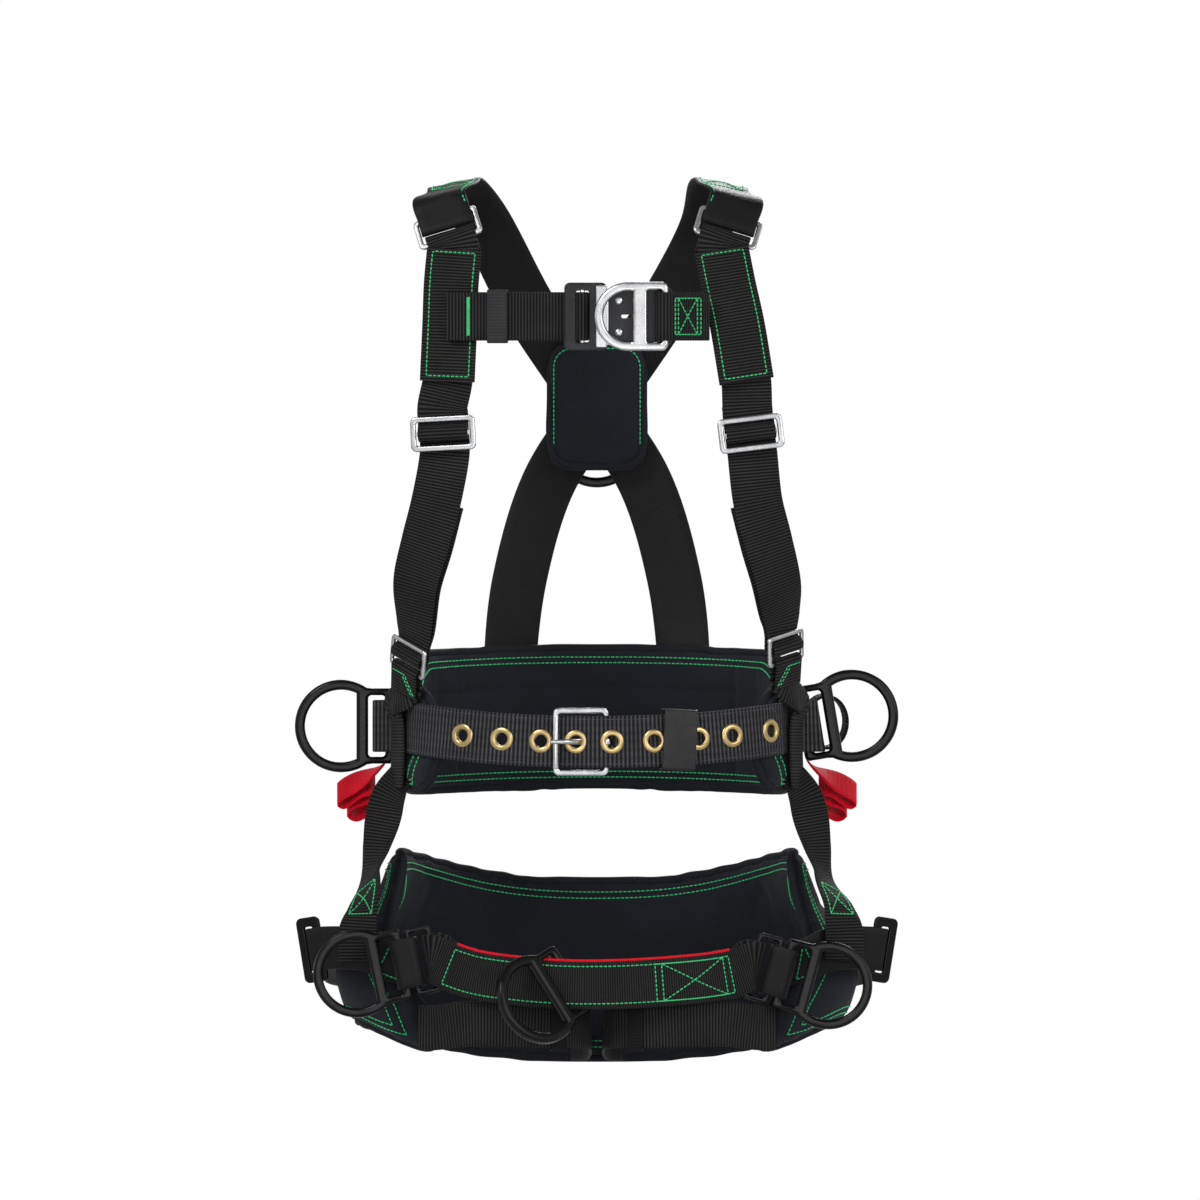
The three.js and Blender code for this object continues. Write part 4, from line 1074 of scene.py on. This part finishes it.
def hips(side):
    name, s, flap_x = side["name"], side["s"], side["flap_x"]
    f = Hip(side)
    middle = f.slot - f.x * RING_SLOT * HIP_RING
    fitted(f"hip_d_ring_{name}", "forged", "alloy", d_ring(HIP_RING), middle, f.x, f.up)
    outer = f.slot + f.x * 9.5
    inner = f.slot + f.x * 28
    loop = Strap(bar_path(f.slot, outer, f.up, 5.8), WEB, WEB_T, True, step=1.5)
    woven_piece(f"hip_loop_{name}", loop, "smooth")
    mesh = wire_link(23.5, 60, 4.4, 4.4)
    fitted(f"bridge_link_{name}", "forged", "alloy", mesh, (outer + inner) / 2, f.x, f.up)

    riser = lay(f"hip_riser_{name}", "webbing", [
        (belt_point(s * 78, 0.6, -38), across(s, 60)),
        *worn(s, (185, -28, -56, 34), (189, -29, -72, 30), (194.5, -31, -97, 48), (201, -38, -125, 70),
              (flap_x - 5, -61, -151, 48), (flap_x, -68, -174, 25), (flap_x, -68, -200, 25)),
    ], 37)
    rows = Stitching()
    rows.box(riser, riser.length - 74, riser.length - 42, 13, riser.facing(riser.length - 18), cross=True)
    rows.done(f"hip_riser_stitching_{name}")

    b = Link(V(s * 252, -40, -190), V(s * 0.9, 0.44, 0), V(s * 0.16, 0, 1))
    band = lay(f"hip_band_{name}", "smooth", [
        (V(s * 164, -76.5, -204), f.up),
        (V(s * 186, -74, -198), f.up),
        (V(s * 206, -66, -190), V(s * 0.1, 0.08, 1)),
        *b.wrap((-14, 4.4), (-7, 4.2), (0.2, 3.4), (2.1, 0.2), (0.2, -3.6), (-8, -4.8)),
        (V(s * 243, -18, -192), V(s * 0.1, 0, 1)),
        (V(s * 239, 20, -200), UP),
        (V(s * 226, 62, -204), UP),
    ], 38)
    face = band.facing(band.nearest(V(s * 190, -72, -196)))
    tip = 1 if band.u[round(12 / band.step)].z > 0 else -1
    rows = Stitching()
    rows.on(band, [(x, tip * v) for x, v in ((9, -15), (23, 14), (27, -13), (9, -15))], face)
    rows.done(f"hip_band_stitching_{name}")
    mesh = plate(round_rect(23, 58, 5), [round_rect(7.6, 41, 1.8)], 4, 1.6, 4)
    fitted(f"hip_buckle_{name}", "coated", "alloy", mesh, b.origin, b.u, b.w)


# ---- bridge and leg straps ----
def bridge_end(f):
    return [(f.at(a, b), f.up) for a, b in (
        (33, 5.2), (26, 4.8), (23, 2.6), (22.6, 0), (23, -2.6), (26, -5.4))]


def bridge():
    right, left = (Hip(side) for side in SIDES)
    path = [(V(-108, -103.5, -210), UP), (V(-126, -93, -206), V(-0.1, 0, 1)), *bridge_end(right)]
    path += [(V(*p), V(lean, 0, 1)) for *p, lean in (
        (-127, -102.4, -206.5, -0.1), (-108, -109, -212.5, -0.02), (-80, -118, -217, 0),
        (-32, -123, -221, 0), (20, -123, -221, 0), (76, -118, -217.5, 0), (103, -109, -214.5, 0.03),
        (121, -102.4, -211, 0.14))]
    path += bridge_end(left)[::-1]
    path += [(V(120, -93, -210.5), V(0.14, 0, 1)), (V(103, -103.5, -212), UP)]
    strap = lay("bridge_strap", "bridge", path, 43)
    start, box, other, end = (strap.nearest(V(*p)) for p in (
        (-134.7, -101, -210), (59, -121, -219), (113, -107, -213), (124.8, -104, -212)))
    face = strap.facing(strap.length / 2)
    rows = Stitching()
    rows.on(strap, [(box, -16.5), (start, -16.5), (start, 16.5), (box, 16.5)], face)
    rows.box(strap, box - 6, other + 6, 16.5, face)
    rows.box(strap, box, other, 16.5, face, cross=True)
    rows.done("bridge_stitching")
    top = 21.6 if strap.u[strap.count // 2].z > 0 else -21.6
    first, last = round(start / strap.step), round(end / strap.step)
    edge = [strap.at(strap.step * i, top, 0) for i in range(first, last)]
    piece("bridge_red_edge", sweep(edge, 1.25, 8), "red")

    slope = radians(32)
    lean = radians(38)
    down = V(sin(slope), 0, -cos(slope))
    x = V(cos(slope), 0, sin(slope)) * cos(lean) + V(0, sin(lean), 0)
    fitted("bridge_d_ring", "forged", "alloy", d_ring(), V(-32, -123, -221) - x * 31.5, x, -down)


def legs(side):
    name, s = side["name"], side["s"]
    lay(f"leg_strap_{name}", "webbing", [(V(s * x, y, z), UP) for x, y, z in (
        (158, -79, -259), (143, -87, -259), (116, -100, -256), (76, -108, -256), (44, -107, -257),
        (20, -99, -257), (8, -82, -258), (6, -52, -260), (6, 20, -264), (10, 80, -268),
        (22, 112, -268))], 40)
    node = f"leg_keeper_{name}"
    mesh = place(keeper(41.4, 4.6, 13, 2), V(s * 34, -104.6, -257), UP, V(s * 0.26, 1, 0))
    piece(f"{node}_elastic", mesh, "dark_elastic", node=node)


# ---- pads ----
def skin(rings):
    """Closed skin through rings of points, its faces turned outwards."""
    mesh = tube(rings, range(len(rings)), range(len(rings[0]) + 1))
    work = bmesh.new()
    work.from_mesh(mesh)
    bmesh.ops.recalc_face_normals(work, faces=work.faces)
    work.to_mesh(mesh)
    work.free()
    return mesh


def stuff(obj, cap, pressure=4.0, voxel=5.0):
    """Pads out a closed cloth by simulation, then keeps each point within cap of where it began."""
    change = obj.modifiers.new("even", "REMESH")
    change.mode = "VOXEL"
    change.voxel_size = voxel * MM
    bake(obj)
    rest = [v.co.copy() for v in obj.data.vertices]
    normals = [v.normal.copy() for v in obj.data.vertices]
    cloth = obj.modifiers.new("cloth", "CLOTH")
    cloth.settings.use_pressure = True
    cloth.settings.uniform_pressure_force = pressure
    cloth.settings.effector_weights.gravity = 0
    cloth.settings.quality = 5
    scene = bpy.context.scene
    for number in range(1, 16):
        scene.frame_set(number)
    bake(obj)
    scene.frame_set(1)
    for v, start, out in zip(obj.data.vertices, rest, normals):
        move = v.co - start
        move -= out * min(0, move.dot(out))
        if move.length > cap * MM:
            move = move.normalized() * cap * MM
        v.co = start + move
    change = obj.modifiers.new("soften", "SMOOTH")
    change.iterations = 2
    change = obj.modifiers.new("fine", "SUBSURF")
    change.levels = change.render_levels = 1
    bake(obj)


def unwrap(mesh, around):
    """UVs in metres from where a point stands: round the body and up it."""
    layer = mesh.uv_layers.get("run") or mesh.uv_layers.new(name="run")
    spots = [mesh.vertices[loop.vertex_index].co for loop in mesh.loops]
    layer.data.foreach_set("uv", [c for co in spots for c in (atan2(co.x, co.y) * around * MM, co.z)])


def press(mesh, depth_at):
    """Moves each point along its normal by depth_at(point), in millimetres."""
    normals = [v.normal.copy() for v in mesh.vertices]
    for v, n in zip(mesh.vertices, normals):
        v.co += n * depth_at(v.co / MM) * MM


def round_pad(start, end, h, long, short):
    """Places (f, h) along a pad's upper edge, down its end, back along the lower edge and up again."""
    line = [(f, h) for f in spread(start, end, long)] + [(end, g) for g in spread(h, -h, short)[1:-1]]
    line += [(f, -h) for f in spread(end, start, long)] + [(start, g) for g in spread(-h, h, short)[1:-1]]
    return line


def surface(obj):
    mesh = obj.data
    return BVHTree.FromPolygons([v.co for v in mesh.vertices], [p.vertices for p in mesh.polygons])


def drape(tree, points, inward):
    """Points laid on a surface by a ray along each inward direction, with the surface's normals."""
    out = []
    normals = []
    for p, d in zip(points, inward):
        d = d.normalized()
        hit, normal, _, _ = tree.ray_cast((p - d * 30) * MM, d, 60 * MM)
        if hit is None:
            continue
        if normal.dot(d) > 0:
            normal = -normal
        out.append(hit / MM + normal * 0.1)
        normals.append(normal)
    return out, normals


def binding(name, tree, rim, middle, radius):
    """Piping laid round a pad: each rim point is pulled towards its middle point until it meets the pad."""
    at = []
    for p, m in zip(rim, middle):
        d = (m - p).normalized()
        hit, _, _, _ = tree.ray_cast((p - d * 12) * MM, d, 50 * MM)
        if hit is not None:
            at.append(hit / MM - d * (radius * 0.25))
    for _ in range(3):
        at = [(at[i - 1] + 2 * q + at[(i + 1) % len(at)]) / 4 for i, q in enumerate(at)]
    piece(name, sweep(at, radius, 10, True), "binding")


def pad_object(node, mesh, cap, around):
    obj = piece(f"{node}_padding", mesh, "pad", node=node)
    stuff(obj, cap)
    unwrap(obj.data, around)
    obj.data.polygons.foreach_set("use_smooth", [True] * len(obj.data.polygons))
    obj.data.materials.clear()
    obj.data.materials.append(material("pad"))
    return obj


class WaistPad:
    start = 54
    end = 306

    def __init__(self):
        self.angles = spread(self.start, self.end, 120)
        self.keys = running_length([belt_point(t) for t in self.angles])

    def at(self, f):
        """Angle, half height and middle height of the pad at a share of its length."""
        run = f * self.keys[-1]
        end = min(run, self.keys[-1] - run)
        back = smooth(60, 150, end)
        round_ = sqrt(max(0.12, 1 - max(0, 1 - end / 30) ** 2))
        return look_up(self.keys, self.angles, run), (47 + 16 * back) * round_, -10 + 12 * back

    def point(self, f, h, offset):
        """Point at share f, height h from -1 to 1, and offset from the belt line."""
        t, half, z = self.at(f)
        return belt_point(t, offset, z + h * half)

    def rings(self):
        out = []
        for f in spread(0, 1, 90):
            t, half, z = self.at(f)
            half -= 1.5
            upper = [(half - 4, -2.4), (half - 0.6, -5), (half - 1.2, -12.2), (half - 5, -14.6)]
            shape = upper + [(-h, o) for h, o in reversed(upper)]
            flat = []
            for steps, (h, o), (h2, o2) in zip((1, 1, 1, 12, 1, 1, 1, 12), shape, shape[1:] + shape[:1]):
                flat += [(h + (h2 - h) * k / steps, o + (o2 - o) * k / steps) for k in range(steps)]
            out.append([belt_point(t, o, z + h) for h, o in flat])
        return out


def waist_pad():
    pad = WaistPad()
    obj = pad_object("waist_pad", skin(pad.rings()), PAD_CAP, 150)
    channels = (-0.42, 0.0, 0.42)

    def groove(p):
        angle = degrees(atan2(p.x, -p.y)) % 360
        f = min(1, max(0, (angle - pad.start) / (pad.end - pad.start)))
        _, half, z = pad.at(f)
        middle = belt_height(radians(angle)) + z
        h = (p.z - middle) / half
        depth = sum(exp(-((h - c) * half / 2.6) ** 2) for c in channels)
        depth *= smooth(0.06, 0.16, min(f, 1 - f))
        rim = exp(-((abs(h) - BORDER) * half / 2.4) ** 2)
        return -1.5 * depth - 1.1 * rim

    press(obj.data, groove)
    for v in obj.data.vertices:
        p = v.co / MM
        level = belt_height(atan2(p.x, -p.y))
        flat = hypot(p.x, p.y)
        r = (abs(p.x / BELT_A) ** SQUARE + abs(p.y / BELT_B) ** SQUARE) ** (1 / SQUARE)
        over = (r - 1) * flat / r + 2.6 * (1 - smooth(23, 34, abs(p.z - level)))
        over += 2.6 * (1 - smooth(12, 30, abs(p.y - RING_Y)))
        if over > 0 and abs(p.z - level) < 34 + 14 * (abs(p.y - RING_Y) < 24):
            v.co.x -= p.x / flat * over * MM
            v.co.y -= p.y / flat * over * MM
    tree = surface(obj)
    around = round_pad(0, 1, 1, 260, 12)
    rim = [pad.point(f, h, -8.5) for f, h in around]
    middle = [pad.point(min(0.985, max(0.015, f)), h * 0.3, -8.5) for f, h in around]
    binding("waist_pad_binding", tree, rim, middle, PIPING)
    rows = Stitching()
    for inset in (BORDER, 0.76):
        for sign in (1, -1):
            fs = spread(0.05, 0.95, 400)
            for offset, way in ((8, 1), (-24, -1)):
                points = [pad.point(f, sign * inset, offset) for f in fs]
                inward = [(pad.point(f, 0, -8) - pad.point(f, 0, 8)) * way for f in fs]
                rows.row(*drape(tree, points, inward))
    for end in (0, 1):
        for dx in (0.03, 0.045):
            hs = spread(-BORDER, BORDER, 40)
            fs = [abs(end - (dx + 0.03 * h * h)) for h in hs]
            points = [pad.point(f, h, 8) for f, h in zip(fs, hs)]
            inward = [pad.point(f, 0, -8) - pad.point(f, 0, 8) for f in fs]
            rows.row(*drape(tree, points, inward))
    rows.done("waist_pad_stitching")


SEAT_Z = [-290, -262, -240, -215, -195, -175, -150, -125, -95]
SEAT_A = [196, 214, 226, 233, 230, 214, 196, 186, 181]
SEAT_END = [138, 139, 139, 134, 127, 117, 110, 106, 103]


def seat_point(f, z, depth=0.0):
    """Point of the seat's outer face: f runs -1..1 from the right front edge round the back."""
    end = look_up(SEAT_Z, SEAT_END, z)
    a = look_up(SEAT_Z, SEAT_A, z) - depth
    degrees = 180 - f * end
    b = (92 if cos(radians(degrees)) > 0 else 136) - depth
    return loop_point(degrees, a, b, z, 0)


def seat_edges(f):
    side = abs(f)
    low = -287 + 31 * smooth(0.1, 0.62, side) - 24 * smooth(0.7, 1, side)
    high = -128 + 26 * smooth(0, 0.8, side) - 6 * smooth(0.93, 1, side)
    return low, high


def seat_at(f, h, depth=0.0):
    low, high = seat_edges(f)
    return seat_point(f, low + (high - low) * (h + 1) / 2, depth)


def seat_pad():
    rings = []
    for f in spread(-0.992, 0.992, 90):
        hs = spread(-0.98, 0.98, 14)
        outer = [seat_at(f, h, 4 if abs(h) > 0.97 else 1.4) for h in hs]
        inner = [seat_at(f, h, 11.5 if abs(h) > 0.97 else 14.4) for h in reversed(hs)]
        rings.append(outer + inner)
    obj = pad_object("seat_pad", skin(rings), PAD_CAP, 190)
    tree = surface(obj)
    around = round_pad(-1, 1, 1, 160, 32)
    rim = [seat_at(f, h, 8) for f, h in around]
    middle = [seat_at(f * 0.93, h * 0.7, 8) for f, h in around]
    binding("seat_pad_binding", tree, rim, middle, PIPING)
    rows = Stitching()
    for inset in (0.86, 0.79):
        side_f = 1 - (1 - inset) * 0.42
        outline = round_pad(-side_f, side_f, inset, 240, 60)
        outline.append(outline[0])
        for depth, way in ((-12, 1), (28, -1)):
            points = [seat_at(f, h, depth) for f, h in outline]
            inward = [(seat_at(f, h, 16) - seat_at(f, h, 0)) * way for f, h in outline]
            rows.row(*drape(tree, points, inward))
    rows.done("seat_pad_stitching")


def dorsal_pad():
    soft = plate(round_rect(90, 118, 22), [], 7, 3)
    obj = pad_object("dorsal_pad", place(soft, V(0, 114, 290), LEFTWARD, V(0, -0.05, 1)), 3, 110)
    rim = [V(x, 114, z + 290) for x, z in round_rect(91, 119, 22)]
    rim = [p + V(0, 0.05 * (p.z - 290), 0) for p in rim]
    rim = curve_points(rim + rim[:1], 240)[:-1]
    tree = surface(obj)
    binding("dorsal_pad_binding", tree, rim, [V(p.x * 0.5, 114, 290 + (p.z - 290) * 0.5) for p in rim], 3.2)
    rows = Stitching()
    line = round_rect(76, 104, 16)
    line.append(line[0])
    for y, way in ((134, -1), (94, 1)):
        points = [V(x, y, z + 290) for x, z in line]
        rows.row(*drape(tree, points, [V(0, way, 0)] * len(points)))
    rows.done("dorsal_pad_stitching")


# ---- studio ----
def camera():
    data = bpy.data.cameras.new("camera")
    data.type = "ORTHO"
    data.ortho_scale = VIEW_WIDTH
    cam = in_scene("camera", data)
    cam.location = (0.0027, -3, 0.1195)
    cam.rotation_euler = (radians(90), 0, 0)
    bpy.context.scene.camera = cam


def light(name, location, target, size, watts):
    data = bpy.data.lights.new(name, "AREA")
    data.shape = "DISK"
    data.size = size
    data.energy = watts
    lamp = in_scene(name, data)
    lamp.location = location
    lamp.rotation_euler = (Vector(target) - Vector(location)).to_track_quat("-Z", "Y").to_euler()


def studio():
    scene = bpy.context.scene
    scene.view_settings.view_transform = "Standard"
    world = bpy.data.worlds.new("studio")
    scene.world = world
    world.use_nodes = True
    tree = world.node_tree
    sky, height, level, band = (tree.nodes.new(f"ShaderNode{kind}") for kind in (
        "TexCoord", "SeparateXYZ", "Math", "ValToRGB"))
    level.operation = "ABSOLUTE"
    for element, at, value in zip(band.color_ramp.elements, (0.3, 0.6), (1.0, 0.3)):
        element.position = at
        element.color = (*grey(value), 1)
    for output, node in ((sky.outputs["Generated"], height), (height.outputs[2], level),
                         (level.outputs[0], band), (band.outputs[0], tree.nodes["Background"])):
        tree.links.new(output, node.inputs[0])
    n = Nodes("pale_floor")
    speck = n.noise(240.0, n.place(), 4.0)
    base = n.ramp(speck, [(0.3, grey(0.66)), (0.7, grey(0.68))])
    n.shade(Base_Color=base, Roughness=0.8)
    verts = [(x * FLOOR_HALF, y * FLOOR_HALF, FLOOR_Z) for x, y in ((-1, -1), (1, -1), (1, 1), (-1, 1))]
    mesh = bpy.data.meshes.new("floor")
    mesh.from_pydata(verts, [], [(0, 1, 2, 3)])
    mesh.materials.append(n.material)
    floor = in_scene("floor", mesh)
    light("key", (-1.3, -2.0, 1.9), (0, 0, 0.1), 1.1, 46)
    light("fill", (1.7, -1.8, 0.9), (0, 0, 0), 1.5, 22)
    light("rim", (0.6, 2.2, 1.7), (0, 0, 0.1), 1.4, 40)
    light("low", (0.0, -1.8, -0.2), (0, 0, 0.05), 1.0, 7)


camera()
studio()
for one_side in SIDES:
    shoulders(one_side)
    torso(one_side)
    side_ring(one_side)
    hips(one_side)
    legs(one_side)
chest()
dorsal()
belt()
accessory_loop()
bridge()
waist_pad()
seat_pad()
dorsal_pad()
